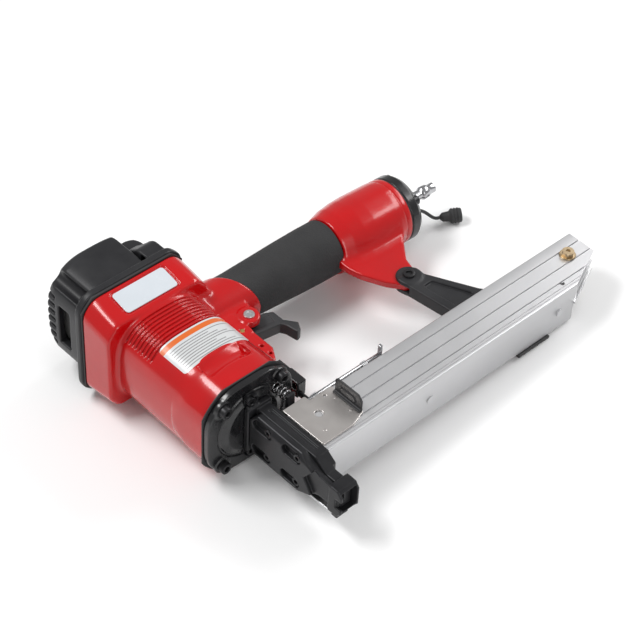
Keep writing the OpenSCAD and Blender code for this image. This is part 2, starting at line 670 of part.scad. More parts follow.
module pusher() rest_pose() color("silver") difference() {
    block([mag_back + gap, mag_front + 0.6, -6.7], [40, pusher_rear, 6.7]);
    block([mag_back + gap + 1.5, mag_front, -5.25], [41, pusher_rear + 1, 5.25]);
    block([26, mag_front + 8, -10], [41, pusher_rear + 1, 10]);
}
module pusher_spring() rest_pose() color("silver") translate([12.2, mag_front + 20, 0]) difference() {
    z_rod(7, -4.6, 4.6);
    z_rod(5, -5, 5);
}
plate_t = 1.4;
ear_y = 57;
rivet_xs = [12, 29];
rivet_y = ear_y - 6;
rivet_r = 1.5;
plate_rivet = [31, 22];
plate_rivet_r = 2;
module guide_plate() rest_pose() color("silver") difference() {
    translate([0, 0, mag_half]) linear_extrude(plate_t)
        polygon([[-4.6, mag_front], [41, mag_front], [41, 42], [36, ear_y], [0.5, ear_y], [0.5, 34], [-4.6, 34]]);
    translate([15.6, 30.4, 0]) z_rod(3.5, 10, 30);
    for (x = rivet_xs) translate([x, rivet_y, 0]) z_rod(rivet_r, 10, 30);
    translate(plate_rivet) z_rod(plate_rivet_r, 10, 30);
}
ear_z = mag_half + plate_t;
module guide_ear() rest_pose() color("black") difference() {
    union() {
        block([6, ear_y - 10, ear_z], [35, ear_y, ear_z + 1.6]);
        translate([0, ear_y, ear_z])
            plate_xz([[6, 0], [35, 0], [35, 10], [31, 14.5], [8, 14.5], [6, 12.5]], -1.6, 0);
    }
    for (x = rivet_xs) translate([x, rivet_y, 0]) z_rod(rivet_r, 10, 30);
}
module ear_rivets() rest_pose() color("gray") {
    for (x = rivet_xs) translate([x, rivet_y, 0]) {
        z_rod(rivet_r, mag_half, ear_z + 1.6);
        z_rod(2.6, ear_z + 1.6, ear_z + 2.6);
    }
    translate(plate_rivet) {
        z_rod(plate_rivet_r, mag_half - mag_wall, ear_z);
        z_rod(3, ear_z, ear_z + 0.9);
    }
}
rod_x = -2.6;
rod_z = 16.8;
rod_r = 1.7;
module latch_rod() rest_pose() color("silver") translate([rod_x, 0, rod_z]) {
    y_rod(rod_r, 22, 113);
    block([-rod_r, 111, -rod_r], [rod_r, 113.5, 10]);
}
module rod_guides() rest_pose() color("gray") for (y = [40, 92]) difference() {
    block([rod_x - 3, y, rod_z - 3], [0, y + 6, rod_z + 2.4]);
    translate([rod_x, 0, rod_z]) y_rod(rod_r + fit, y - 1, y + 7);
}
module rear_plate() rest_pose() color("gray") difference() {
    translate([0, 0, -1]) linear_extrude(2)
        polygon([[0, tongue_y + 0.2], [mag_depth + 1.4, tongue_y + 0.2], [bend_x + 1.4, mag_end], [0, mag_end]]);
    translate([bolt_x, bolt_y, 0]) z_rod(bolt_r, -5, 5);
}
module rear_bolt() rest_pose() color("goldenrod") translate([bolt_x, bolt_y, 0]) difference() {
    union() {
        z_rod(bolt_r, -1, mag_half);
        z_rod(7, mag_half, mag_half + 1.2);
        translate([0, 0, mag_half + 1.2]) linear_extrude(3.6) circle(r = 5.6, $fn = 6);
        z_rod(5.5, -4, -1);
    }
    z_rod(1.6, mag_half + 3, mag_half + 6);
}
module rest_pad() rest_pose() color("black")
    block([36, 224, -mag_half - 3], [mag_depth + 1.5, 261, -mag_half]);

// ---------- labels ----------

module name_plate() rest_pose() color("white") on_name_face() block([5, -26, -1], [27, 26, -0.2]);
module caution_label() rest_pose() color("white") intersection() {
    barrel_band(0.25, 0, -101.5, -68);
    rotate([-5, 0, 0]) translate([-120, 0, 0]) rotate([90, 0, 90]) linear_extrude(80)
        polygon([[0, 0], [-50 * sin(44), 50 * cos(44)], [-20, 60], [20, 60], [50 * sin(44), 50 * cos(44)]]);
}

housing();
cap_gasket();
rear_cap();
cap_screws();
exhaust_silencer();
piston_stop();
head_valve();
head_valve_seals();
head_valve_spring();
cylinder_sleeve();
sleeve_seals();
piston();
piston_ring();
driver_blade();
blade_pin();
bumper();
cover_gasket();
front_cover();
cover_screws();
nose_guide();
nose_base_screws();
nose_plate();
nose_screws();
contact_foot();
safety_yoke();
safety_bracket();
safety_spring();
trigger();
trigger_pin();
valve_body();
valve_seals();
valve_stem();
valve_spring();
valve_side_screw();
grip_sleeve();
end_cap_gasket();
end_cap();
end_cap_screws();
air_plug();
tether_strap();
dust_cap();
support_arm();
arm_pin();
arm_screws();
magazine_body();
staple_rail();
rail_screws();
pusher();
pusher_spring();
guide_plate();
guide_ear();
ear_rivets();
latch_rod();
rod_guides();
rear_plate();
rear_bolt();
rest_pad();
name_plate();
caution_label();
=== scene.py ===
import json
import math

import bpy
import numpy as np
from mathutils import Matrix, Vector
from mathutils.geometry import tessellate_polygon


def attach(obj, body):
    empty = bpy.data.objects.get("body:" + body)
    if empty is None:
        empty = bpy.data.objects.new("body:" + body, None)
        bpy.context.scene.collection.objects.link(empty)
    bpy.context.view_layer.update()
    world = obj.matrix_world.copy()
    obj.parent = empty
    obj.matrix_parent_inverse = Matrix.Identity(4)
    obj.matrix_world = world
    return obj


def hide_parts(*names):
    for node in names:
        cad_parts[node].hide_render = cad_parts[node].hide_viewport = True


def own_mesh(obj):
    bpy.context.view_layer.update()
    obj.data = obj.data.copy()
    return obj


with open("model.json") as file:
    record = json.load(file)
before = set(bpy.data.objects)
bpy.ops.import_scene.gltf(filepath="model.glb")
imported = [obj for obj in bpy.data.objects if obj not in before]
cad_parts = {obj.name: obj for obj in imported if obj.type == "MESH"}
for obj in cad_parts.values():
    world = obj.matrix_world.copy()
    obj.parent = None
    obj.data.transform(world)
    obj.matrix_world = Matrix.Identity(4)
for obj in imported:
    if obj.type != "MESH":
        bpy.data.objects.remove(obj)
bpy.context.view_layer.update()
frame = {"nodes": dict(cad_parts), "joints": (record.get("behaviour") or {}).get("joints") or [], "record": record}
JOINTS = {joint["name"]: joint for joint in frame["joints"]}
SLOTS = {part["node"]: part["material_slot"] for part in frame["record"]["subparts"]}

# ---------- the tool's own axes ----------
# Pieces are drawn in the tool's axes, in millimetres: X along the drive, Y along the magazine,
# Z across it, with the driving axis at y = z = 0. The joints say how the tool lies.

TURN = np.array([JOINTS[name]["axis"] for name in ("piston_stroke", "pusher_travel", "trigger_pull")]).T
TRIGGER_PIN = (-95, 51)
SHIFT = np.array(JOINTS["trigger_pull"]["pos_m"]) - TURN @ np.array([*TRIGGER_PIN, 0.0]) / 1000
X, Y, Z = 0, 1, 2


def to_row(points):
    return np.asarray(points, float) @ TURN.T / 1000 + SHIFT


def direction(vector):
    return Vector(TURN @ np.asarray(vector, float)).normalized()


# ---------- camera, floor and light ----------

CAMERA_PLACE = (705.8, -675.1, 1071.6)
CAMERA_AIM = (-73.0, 115.2, 0.0)
CAMERA_ROLL = math.radians(3.455)
CAMERA_LENS = 107.65


def add_object(name, data):
    obj = bpy.data.objects.new(name, data)
    bpy.context.scene.collection.objects.link(obj)
    return obj


def make_camera():
    camera = add_object("camera", bpy.data.cameras.new("camera"))
    place = Vector(to_row(CAMERA_PLACE))
    forward = (Vector(to_row(CAMERA_AIM)) - place).normalized()
    right = forward.cross(direction((0, 0, 1))).normalized()
    up = right.cross(forward)
    turned_up = up * math.cos(CAMERA_ROLL) - right * math.sin(CAMERA_ROLL)
    turned_right = forward.cross(turned_up)
    camera.matrix_world = Matrix.Translation(place) @ Matrix(
        (turned_right, turned_up, -forward)
    ).transposed().to_4x4()
    camera.data.lens = CAMERA_LENS
    camera.data.sensor_width = 36
    bpy.context.scene.camera = camera


def area_light(name, place, aim, size, power):
    light = add_object(name, bpy.data.lights.new(name, "AREA"))
    light.location = place
    light.rotation_euler = (Vector(aim) - Vector(place)).to_track_quat("-Z", "Y").to_euler()
    light.data.shape = "RECTANGLE"
    light.data.size = size[0]
    light.data.size_y = size[1]
    light.data.energy = power


def make_stage():
    side = 3.0
    corners = [(-side, -side, 0), (side, -side, 0), (side, side, 0), (-side, side, 0)]
    mesh = bpy.data.meshes.new("floor")
    mesh.from_pydata(corners, [], [(0, 1, 2, 3)])
    floor = add_object("floor", mesh)
    paint = bpy.data.materials.new("floor")
    paint.use_nodes = True
    shader = paint.node_tree.nodes["Principled BSDF"]
    shader.inputs["Base Color"].default_value = (0.95, 0.95, 0.95, 1)
    shader.inputs["Roughness"].default_value = 0.8
    mesh.materials.append(paint)
    world = bpy.context.scene.world or bpy.data.worlds.new("world")
    bpy.context.scene.world = world
    world.use_nodes = True
    background = world.node_tree.nodes["Background"]
    background.inputs["Color"].default_value = (1, 1, 1, 1)
    background.inputs["Strength"].default_value = 0.42
    area_light("key", (-0.5, -0.5, 1.2), (0, 0, 0), (0.7, 0.35), 11)
    area_light("back", (0.2, 1.1, 0.9), (0, 0, 0.05), (1.2, 0.3), 9)
    area_light("side", (1.1, -0.2, 0.5), (0, 0, 0.05), (0.3, 0.8), 4)
    bpy.context.scene.view_settings.view_transform = "Standard"


make_camera()
make_stage()

# ---------- materials ----------


FINISHES = {}


def noise_node(tree, vector, scale, detail):
    noise = tree.nodes.new("ShaderNodeTexNoise")
    noise.inputs["Scale"].default_value = scale
    noise.inputs["Detail"].default_value = detail
    noise.inputs["Roughness"].default_value = 0.6
    tree.links.new(vector, noise.inputs["Vector"])
    return noise


def colour_ramp(tree, source, low, high, colour_a, colour_b):
    ramp = tree.nodes.new("ShaderNodeValToRGB")
    ramp.color_ramp.elements[0].position = low
    ramp.color_ramp.elements[1].position = high
    ramp.color_ramp.elements[0].color = (*colour_a, 1)
    ramp.color_ramp.elements[1].color = (*colour_b, 1)
    tree.links.new(source, ramp.inputs["Fac"])
    return ramp


def value_range(tree, source, low, high):
    spread = tree.nodes.new("ShaderNodeMapRange")
    spread.inputs["From Min"].default_value = 0.3
    spread.inputs["From Max"].default_value = 0.7
    spread.inputs["To Min"].default_value = low
    spread.inputs["To Max"].default_value = high
    tree.links.new(source, spread.inputs["Value"])
    return spread


def finish(name, colour, other, rough, metallic=0.0, coat=0.0, grain=(900, 900, 900), bump=0.1,
           depth=0.0002, patches=25, specular=0.5, pits=False):
    """A surface with two tones in soft patches, uneven gloss and a fine grain that stands in relief."""
    material = bpy.data.materials.new(name)
    material.use_nodes = True
    tree = material.node_tree
    shader = tree.nodes["Principled BSDF"]
    shader.inputs["Metallic"].default_value = metallic
    shader.inputs["Coat Weight"].default_value = coat
    shader.inputs["Coat Roughness"].default_value = 0.08
    shader.inputs["Specular IOR Level"].default_value = specular
    place = tree.nodes.new("ShaderNodeTexCoord")
    patch = noise_node(tree, place.outputs["Object"], patches, 5)
    tones = colour_ramp(tree, patch.outputs["Fac"], 0.35, 0.65, colour, other)
    stretched = tree.nodes.new("ShaderNodeMapping")
    stretched.inputs["Scale"].default_value = grain
    tree.links.new(place.outputs["Object"], stretched.inputs["Vector"])
    if pits:
        fine = tree.nodes.new("ShaderNodeTexVoronoi")
        fine.inputs["Scale"].default_value = 1
        tree.links.new(stretched.outputs["Vector"], fine.inputs["Vector"])
        relief = fine.outputs["Distance"]
    else:
        fine = noise_node(tree, stretched.outputs["Vector"], 1, 3)
        relief = fine.outputs["Fac"]
    tree.links.new(tones.outputs["Color"], shader.inputs["Base Color"])
    gloss = value_range(tree, patch.outputs["Fac"], rough[0], rough[1])
    tree.links.new(gloss.outputs["Result"], shader.inputs["Roughness"])
    raised = tree.nodes.new("ShaderNodeBump")
    raised.inputs["Strength"].default_value = bump
    raised.inputs["Distance"].default_value = depth
    tree.links.new(relief, raised.inputs["Height"])
    tree.links.new(raised.outputs["Normal"], shader.inputs["Normal"])
    FINISHES[name] = material
    return material


def uv_band(tree, source, low, high):
    """1 where the value lies between low and high, else 0."""
    above = tree.nodes.new("ShaderNodeMath")
    above.operation = "GREATER_THAN"
    above.inputs[1].default_value = low
    below = tree.nodes.new("ShaderNodeMath")
    below.operation = "LESS_THAN"
    below.inputs[1].default_value = high
    tree.links.new(source, above.inputs[0])
    tree.links.new(source, below.inputs[0])
    return product(tree, above.outputs[0], below.outputs[0])


def product(tree, a, b):
    times = tree.nodes.new("ShaderNodeMath")
    times.operation = "MULTIPLY"
    tree.links.new(a, times.inputs[0])
    tree.links.new(b, times.inputs[1])
    return times.outputs[0]


def paint_over(tree, base, mask, colour):
    mix = tree.nodes.new("ShaderNodeMix")
    mix.data_type = "RGBA"
    mix.inputs["B"].default_value = (*colour, 1)
    tree.links.new(mask, mix.inputs["Factor"])
    tree.links.new(base, mix.inputs["A"])
    return mix.outputs["Result"]


def label_finish():
    """White film with an orange header and plain grey rules, laid out on the piece's UV map."""
    rules = 9
    grey = (0.2, 0.2, 0.2)
    material = finish("label_white", (0.62, 0.63, 0.63), (0.58, 0.59, 0.6), (0.26, 0.38), coat=0.2,
                      patches=40, bump=0.05)
    tree = material.node_tree
    shader = tree.nodes["Principled BSDF"]
    base = shader.inputs["Base Color"].links[0].from_socket
    layout = tree.nodes.new("ShaderNodeUVMap")
    split = tree.nodes.new("ShaderNodeSeparateXYZ")
    tree.links.new(layout.outputs["UV"], split.inputs["Vector"])
    along = split.outputs["X"]
    across = split.outputs["Y"]
    base = paint_over(tree, base, uv_band(tree, along, 0.05, 0.2), (0.66, 0.13, 0.015))
    for column in range(rules):
        middle = 0.29 + 0.62 * column / (rules - 1)
        stripe = uv_band(tree, along, middle - 0.012, middle + 0.012)
        length = 0.93 - 0.11 * ((column * 3) % 4)
        base = paint_over(tree, base, product(tree, stripe, uv_band(tree, across, 0.06, length)), grey)
    tree.links.new(base, shader.inputs["Base Color"])


finish("red_paint", (0.51, 0.0015, 0.003), (0.46, 0.0015, 0.003), (0.17, 0.27), coat=0.25,
       grain=(700,) * 3, bump=0.06, depth=0.0003, specular=0.42)
finish("black_cast", (0.016, 0.016, 0.018), (0.024, 0.024, 0.026), (0.3, 0.46), grain=(1100,) * 3,
       bump=0.25, depth=0.0002, specular=0.3)
finish("black_gloss", (0.006, 0.006, 0.007), (0.010, 0.010, 0.011), (0.22, 0.32), coat=0.2,
       grain=(1100,) * 3, bump=0.03)
finish("black_moulded", (0.02, 0.02, 0.022), (0.03, 0.03, 0.032), (0.42, 0.58), bump=0.3)
finish("grip_foam", (0.030, 0.030, 0.031), (0.042, 0.042, 0.043), (0.75, 0.9), grain=(750,) * 3,
       bump=0.55, depth=0.0005, specular=0.25, pits=True)
finish("rubber_black", (0.022, 0.022, 0.023), (0.032, 0.032, 0.033), (0.55, 0.7), bump=0.2)
finish("felt_grey", (0.07, 0.07, 0.07), (0.11, 0.11, 0.105), (0.9, 1.0), bump=0.6, depth=0.0006)
finish("screw_black", (0.02, 0.02, 0.022), (0.035, 0.034, 0.036), (0.25, 0.42), metallic=0.6, bump=0.12)
finish("nose_steel", (0.017, 0.017, 0.019), (0.027, 0.027, 0.029), (0.26, 0.42), metallic=0.3,
       grain=(1300,) * 3, bump=0.22, specular=0.3)
finish("steel", (0.55, 0.55, 0.56), (0.62, 0.62, 0.62), (0.28, 0.42), metallic=1.0,
       grain=(2500, 300, 2500), bump=0.1)
finish("spring_steel", (0.34, 0.34, 0.35), (0.42, 0.42, 0.43), (0.18, 0.28), metallic=1.0)
finish("chrome", (0.44, 0.44, 0.46), (0.52, 0.52, 0.53), (0.14, 0.24), metallic=1.0, bump=0.04)
finish("aluminium", (0.66, 0.66, 0.67), (0.72, 0.72, 0.73), (0.3, 0.42), metallic=1.0)
finish("anodised", (0.56, 0.56, 0.57), (0.60, 0.60, 0.61), (0.36, 0.46), metallic=0.85,
       grain=(2600, 60, 2600), bump=0.12, depth=0.0001, patches=12)
finish("stainless", (0.56, 0.53, 0.51), (0.62, 0.59, 0.57), (0.3, 0.42), metallic=0.9,
       grain=(300, 2600, 2600), bump=0.12)
finish("zinc_yellow", (0.46, 0.36, 0.23), (0.38, 0.28, 0.17), (0.25, 0.4), metallic=0.95, patches=160)
finish("brass", (0.62, 0.40, 0.14), (0.70, 0.48, 0.19), (0.22, 0.36), metallic=1.0, patches=120)
finish("plate_white", (0.58, 0.62, 0.66), (0.61, 0.65, 0.69), (0.2, 0.3), coat=0.3, patches=30, bump=0.03)
label_finish()
# Nodes that don't look like the rest of their slot.
LOOKS = {
    "front_cover": "black_gloss", "guide_ear": "black_moulded", "end_cap": "black_gloss",
    "safety_bracket": "black_gloss", "nose_base_screws": "screw_black", "latch_rod": "spring_steel",
    "rod_guides": "anodised", "rail_screws": "anodised", "ear_rivets": "stainless",
    "support_arm": "black_cast",
}


def look_of(node):
    return FINISHES[LOOKS.get(node, SLOTS[node])]


def body_of(node):
    return next(body for body, nodes in frame["record"]["behaviour"]["bodies"].items() if node in nodes)


def stand_for(piece, *nodes):
    """The piece takes the first node's body and finish, and replaces all of them."""
    if not piece.data.materials:
        piece.data.materials.append(look_of(nodes[0]))
    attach(piece, body_of(nodes[0]))
    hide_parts(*nodes)
    return piece


def mesh_piece(name, points, faces, smooth=True):
    """A piece from points in the tool's axes."""
    mesh = bpy.data.meshes.new(name)
    mesh.from_pydata(to_row(points).tolist(), [], faces)
    mesh.validate()
    if smooth:
        mesh.shade_smooth()
    return add_object(name, mesh)


# ---------- solids as distance fields ----------
# A field takes points and gives the distance to the surface, negative inside. Cast and moulded pieces
# are fields joined with soft blends, then skinned with a regular net of quads.


def block(low, high, edge=0.0):
    low = np.asarray(low, float)
    high = np.asarray(high, float)
    centre = (low + high) / 2
    half = (high - low) / 2 - edge

    def field(p):
        q = np.abs(p - centre) - half
        return np.linalg.norm(np.maximum(q, 0), axis=1) + np.minimum(q.max(axis=1), 0) - edge
    return field


def prism(axis, section, start, end, edge):
    """What lies in the section, itself a field, between two planes. Its rims are rounded."""
    middle = (start + end) / 2
    half = abs(end - start) / 2

    def field(p):
        a = section(p) + edge
        b = np.abs(p[:, axis] - middle) - half + edge
        return np.hypot(np.maximum(a, 0), np.maximum(b, 0)) + np.minimum(np.maximum(a, b), 0) - edge
    return field


def other_axes(axis):
    return [k for k in (X, Y, Z) if k != axis]


def rod(axis, centre, radius, start, end, edge=0.0):
    u, v = other_axes(axis)

    def section(p):
        return np.hypot(p[:, u] - centre[0], p[:, v] - centre[1]) - radius
    return prism(axis, section, start, end, edge)


def squircle(half, radius, start, end, edge=0.0, corner=3.0):
    """A square bar along X whose corners lie on a circle."""
    def section(p):
        square = np.maximum(np.abs(p[:, Y]), np.abs(p[:, Z])) - half
        around = np.hypot(p[:, Y], p[:, Z]) - radius
        return smooth_max(square, around, corner)
    return prism(X, section, start, end, edge)


def outline_distance(u, v, points):
    """Signed distance to a closed polygon."""
    best = np.full(u.shape, np.inf)
    inside = np.zeros(u.shape, bool)
    for i, (ax, ay) in enumerate(points):
        bx, by = points[i - 1]
        ex, ey = bx - ax, by - ay
        wx, wy = u - ax, v - ay
        t = np.clip((wx * ex + wy * ey) / (ex * ex + ey * ey), 0, 1)
        best = np.minimum(best, np.hypot(wx - t * ex, wy - t * ey))
        crosses = (ay > v) != (by > v)
        if ey:
            inside ^= crosses & (u < ax + (v - ay) * ex / ey)
    return np.where(inside, -best, best)


def inset(points, distance):
    """The outline moved inwards, so that growing it back rounds its outer corners."""
    points = [np.asarray(point, float) for point in points]
    area = sum(a[0] * b[1] - a[1] * b[0] for a, b in zip(points, points[1:] + points[:1]))
    turn = 1 if area > 0 else -1
    moved = []
    for i, corner in enumerate(points):
        before = corner - points[i - 1]
        after = points[(i + 1) % len(points)] - corner
        n1 = np.array([-before[1], before[0]]) / np.linalg.norm(before) * turn
        n2 = np.array([-after[1], after[0]]) / np.linalg.norm(after) * turn
        moved.append(corner + (n1 + n2) * distance / (1 + n1 @ n2))
    return moved


def extrusion(axis, points, start, end, corner=0.0, edge=0.0):
    """An outline in the two other axes, in order, with rounded corners."""
    u, v = other_axes(axis)
    shape = inset(points, corner) if corner else points
    return prism(axis, lambda p: outline_distance(p[:, u], p[:, v], shape) - corner, start, end, edge)


def turned(axis, centre, profile, soft=0.0):
    """A solid of revolution: profile points are (along the axis, radius)."""
    u, v = other_axes(axis)
    closed = [(profile[0][0], -1.0)] + list(profile) + [(profile[-1][0], -1.0)]
    shape = inset(closed, soft) if soft else closed

    def field(p):
        around = np.hypot(p[:, u] - centre[0], p[:, v] - centre[1])
        return outline_distance(p[:, axis], around, shape) - soft
    return field


def half_space(point, normal):
    point = np.asarray(point, float)
    normal = np.asarray(normal, float) / np.linalg.norm(normal)
    return lambda p: (p - point) @ normal


def smooth_max(a, b, k):
    if k <= 0:
        return np.maximum(a, b)
    h = np.maximum(k - np.abs(a - b), 0) / k
    return np.maximum(a, b) + h * h * k / 4


def common(k, *fields):
    """What lies in all the solids. k is the reach of the soft blend where two surfaces meet."""
    def field(p):
        total = fields[0](p)
        for other in fields[1:]:
            total = smooth_max(total, other(p), k)
        return total
    return field


def inverse(solid):
    return lambda p: -solid(p)


def join(k, *fields):
    return inverse(common(k, *[inverse(solid) for solid in fields]))


def cut(k, solid, *tools):
    return common(k, solid, *[inverse(tool) for tool in tools])


def mirrored(axis, solid):
    """The solid on both sides of the plane through the driving axis."""
    def field(p):
        q = p.copy()
        q[:, axis] = np.abs(q[:, axis])
        return solid(q)
    return field


def turned_about(axis, degrees, solid, centre=(0.0, 0.0, 0.0)):
    centre = np.asarray(centre, float)
    back = np.array(Matrix.Rotation(math.radians(-degrees), 3, "XYZ"[axis]))
    return lambda p: solid((p - centre) @ back.T)


EDGES = [(a, b) for a in range(8) for b in range(a + 1, 8) if bin(a ^ b).count("1") == 1]
CORNERS = np.array([[(c >> 2) & 1, (c >> 1) & 1, c & 1] for c in range(8)])
CHUNK = 400000
TILE = 8


def sample(field, points):
    parts = [field(points[i:i + CHUNK]) for i in range(0, len(points), CHUNK)]
    return np.concatenate(parts)


def distance_grid(field, low, cell, tiles):
    """The field on a grid. Only tiles near the surface are sampled finely."""
    centres = np.stack(np.meshgrid(*[np.arange(n) for n in tiles], indexing="ij"), -1).reshape(-1, 3)
    rough = sample(field, low + (centres + 0.5) * TILE * cell)
    grid = np.repeat(np.repeat(np.repeat(rough.reshape(tiles), TILE, 0), TILE, 1), TILE, 2).astype(np.float32)
    near = centres[np.abs(rough) < TILE * cell * 1.3]
    local = np.stack(np.meshgrid(*[np.arange(TILE)] * 3, indexing="ij"), -1).reshape(-1, 3)
    index = (near[:, None, :] * TILE + local[None, :, :]).reshape(-1, 3)
    grid[index[:, 0], index[:, 1], index[:, 2]] = sample(field, low + index * cell)
    return grid


def gradient(field, points, reach):
    steps = np.array([[1, -1, -1], [-1, -1, 1], [-1, 1, -1], [1, 1, 1]], float)
    return sum(sample(field, points + step * reach)[:, None] * step for step in steps) / (4 * reach)


def net(field, low, high, cell):
    """Points and quads of the field's surface: one point in each cell that the surface crosses."""
    low = np.asarray(low, float) - 2 * cell
    tiles = np.ceil((np.asarray(high, float) + 2 * cell - low) / (TILE * cell)).astype(int)
    grid = distance_grid(field, low, cell, tuple(tiles))
    solid = grid < 0
    size = np.array(grid.shape) - 1
    count = sum(solid[c[0]:c[0] + size[0], c[1]:c[1] + size[1], c[2]:c[2] + size[2]].astype(np.int8)
                for c in CORNERS)
    cells = np.argwhere((count > 0) & (count < 8))
    values = np.stack([grid[tuple((cells + c).T)] for c in CORNERS], 1)
    total = np.zeros((len(cells), 3))
    hits = np.zeros((len(cells), 1))
    for a, b in EDGES:
        va = values[:, a]
        vb = values[:, b]
        crossed = (va < 0) != (vb < 0)
        t = np.where(crossed, va / np.where(crossed, va - vb, 1), 0)[:, None]
        point = CORNERS[a] + t * (CORNERS[b] - CORNERS[a])
        total += point * crossed[:, None]
        hits += crossed[:, None]
    points = low + (cells + total / hits) * cell
    for _ in range(2):
        slope = gradient(field, points, cell * 0.25)
        steep = np.maximum((slope ** 2).sum(1, keepdims=True), 0.25)
        move = sample(field, points)[:, None] * slope / steep
        points -= np.clip(move, -cell * 0.6, cell * 0.6)
    number = np.full(grid.shape, -1, np.int64)
    number[tuple(cells.T)] = np.arange(len(cells))
    return points, quads(solid, number)


def quads(solid, number):
    faces = []
    for axis in range(3):
        u, v = (axis + 1) % 3, (axis + 2) % 3
        here = [slice(1, None)] * 3
        here[axis] = slice(0, -1)
        ahead = list(here)
        ahead[axis] = slice(1, None)
        changes = np.argwhere(solid[tuple(here)] != solid[tuple(ahead)])
        changes[:, u] += 1
        changes[:, v] += 1
        inside = solid[tuple(changes.T)]
        corners = []
        for du, dv in ((0, 0), (1, 0), (1, 1), (0, 1)):
            spot = changes.copy()
            spot[:, u] -= du
            spot[:, v] -= dv
            corners.append(number[tuple(spot.T)])
        quad = np.stack(corners, 1)
        quad[~inside] = quad[~inside][:, ::-1]
        faces.append(quad)
    return np.concatenate(faces)


def skin(name, field, low, high, cell):
    points, faces = net(field, low, high, cell)
    return mesh_piece(name, points, faces.tolist())


def cast(name, field, low, high, cell, node):
    stand_for(skin(name, field, low, high, cell), node)


# ---------- turned pieces, with hexagons where asked ----------


SHARP = math.radians(38)


def axes_about(along):
    """The direction at length 1, and two more square to it."""
    along = np.asarray(along, float) / np.linalg.norm(along)
    side = np.cross(along, (0.31, 0.2, 0.93))
    side /= np.linalg.norm(side)
    return along, side, np.cross(along, side)


def ring_faces(rings, sides):
    """Quads between rings of points, and a cap on the first and on the last."""
    faces = []
    for here in range(0, (rings - 1) * sides, sides):
        for k in range(sides):
            k2 = (k + 1) % sides
            faces.append((here + k, here + k2, here + sides + k2, here + sides + k))
    faces.append(tuple(range(sides))[::-1])
    faces.append(tuple(range((rings - 1) * sides, rings * sides)))
    return faces


def lathe(name, place, along, profile, segments=64):
    """A profile point is (distance along, radius), and "h" after it makes that section a hexagon."""
    along, side, other = axes_about(along)
    points = []
    for distance, radius, *hexagon in profile:
        for k in range(segments):
            angle = 2 * math.pi * k / segments
            reach = radius
            if hexagon:
                reach = radius * math.cos(math.pi / 6) / math.cos((angle % (math.pi / 3)) - math.pi / 6)
            ray = math.cos(angle) * side + math.sin(angle) * other
            points.append(np.asarray(place, float) + along * distance + ray * reach)
    piece = mesh_piece(name, points, ring_faces(len(profile), segments))
    piece.data.set_sharp_from_angle(angle=SHARP)
    return piece


def merge(name, pieces):
    """Several pieces as one object."""
    points = []
    faces = []
    for piece in pieces:
        start = len(points)
        points += [vertex.co[:] for vertex in piece.data.vertices]
        faces += [[start + k for k in polygon.vertices] for polygon in piece.data.polygons]
        bpy.data.objects.remove(piece)
    mesh = bpy.data.meshes.new(name)
    mesh.from_pydata(points, [], faces)
    mesh.shade_smooth()
    mesh.set_sharp_from_angle(angle=SHARP)
    return add_object(name, mesh)


def socket_screw(place, along, radius, height):
    """Head of a socket screw: its seat is at place and its socket faces along."""
    soft = 0.5
    wall = radius * 0.55
    return lathe("screw", place, along, [
        (0, radius), (height - soft, radius), (height - soft * 0.3, radius - soft * 0.3),
        (height, radius - soft), (height, wall + 0.25, "h"), (height - 0.3, wall, "h"),
        (height * 0.45, wall, "h"), (height * 0.4, 0.05)], 48)


def coil(name, place, along, radius, wire, length, turns):
    """A compression spring with closed ends, swept as a tube."""
    along, side, other = axes_about(along)
    steps = int(turns * 28)
    sides = 10
    centres = []
    for i in range(steps + 1):
        t = i / steps
        angle = 2 * math.pi * turns * t
        rise = wire + (length - 2 * wire) * (t - 0.35 * math.sin(2 * math.pi * t) / (2 * math.pi))
        ray = math.cos(angle) * side + math.sin(angle) * other
        centres.append(np.asarray(place) + along * rise + radius * ray)
    centres = np.array(centres)
    tangents = np.gradient(centres, axis=0)
    points = []
    for centre, tangent in zip(centres, tangents):
        tangent = tangent / np.linalg.norm(tangent)
        n1 = np.cross(tangent, along)
        n1 /= np.linalg.norm(n1)
        n2 = np.cross(tangent, n1)
        for k in range(sides):
            angle = 2 * math.pi * k / sides
            points.append(centre + wire * (math.cos(angle) * n1 + math.sin(angle) * n2))
    return mesh_piece(name, points, ring_faces(steps + 1, sides))


# ---------- tether strap and dust cap ----------

STRAP_ROUTE = [
    (-121, 260.5, -1), (-121, 266, -1), (-120.8, 270.5, -1.6), (-120.3, 275, -3.4), (-119.6, 279.5, -6.4),
    (-118.9, 284, -10.4), (-118.2, 288, -14.8), (-117.6, 291.5, -18.6), (-117.1, 294.5, -21.2),
    (-116.7, 297.5, -22.8), (-116.2, 300.6, -23.4),
]
STRAP_DIAMETER = 3.0
CAP_TURN = math.radians(35.2)
CAP_TILT = math.radians(5.4)


def smooth_line(points):
    """The same points with one more in each gap, on the smooth curve through them."""
    padded = np.vstack([2 * points[0] - points[1], points, 2 * points[-1] - points[-2]])
    middles = (9 * (padded[1:-2] + padded[2:-1]) - padded[:-3] - padded[3:]) / 16
    line = np.empty((2 * len(points) - 1, 3))
    line[0::2] = points
    line[1::2] = middles
    return line


def make_strap(cap):
    route = smooth_line(np.asarray(to_row(STRAP_ROUTE)))
    curve = bpy.data.curves.new("tether_strap_cord", "CURVE")
    curve.dimensions = "3D"
    curve.bevel_depth = STRAP_DIAMETER / 2000
    curve.bevel_resolution = 4
    spline = curve.splines.new("POLY")
    spline.points.add(len(route) - 1)
    for point, place in zip(spline.points, route):
        point.co = (*place, 1)
    strap = add_object("tether_strap_cord", curve)
    stand_for(strap, "tether_strap")


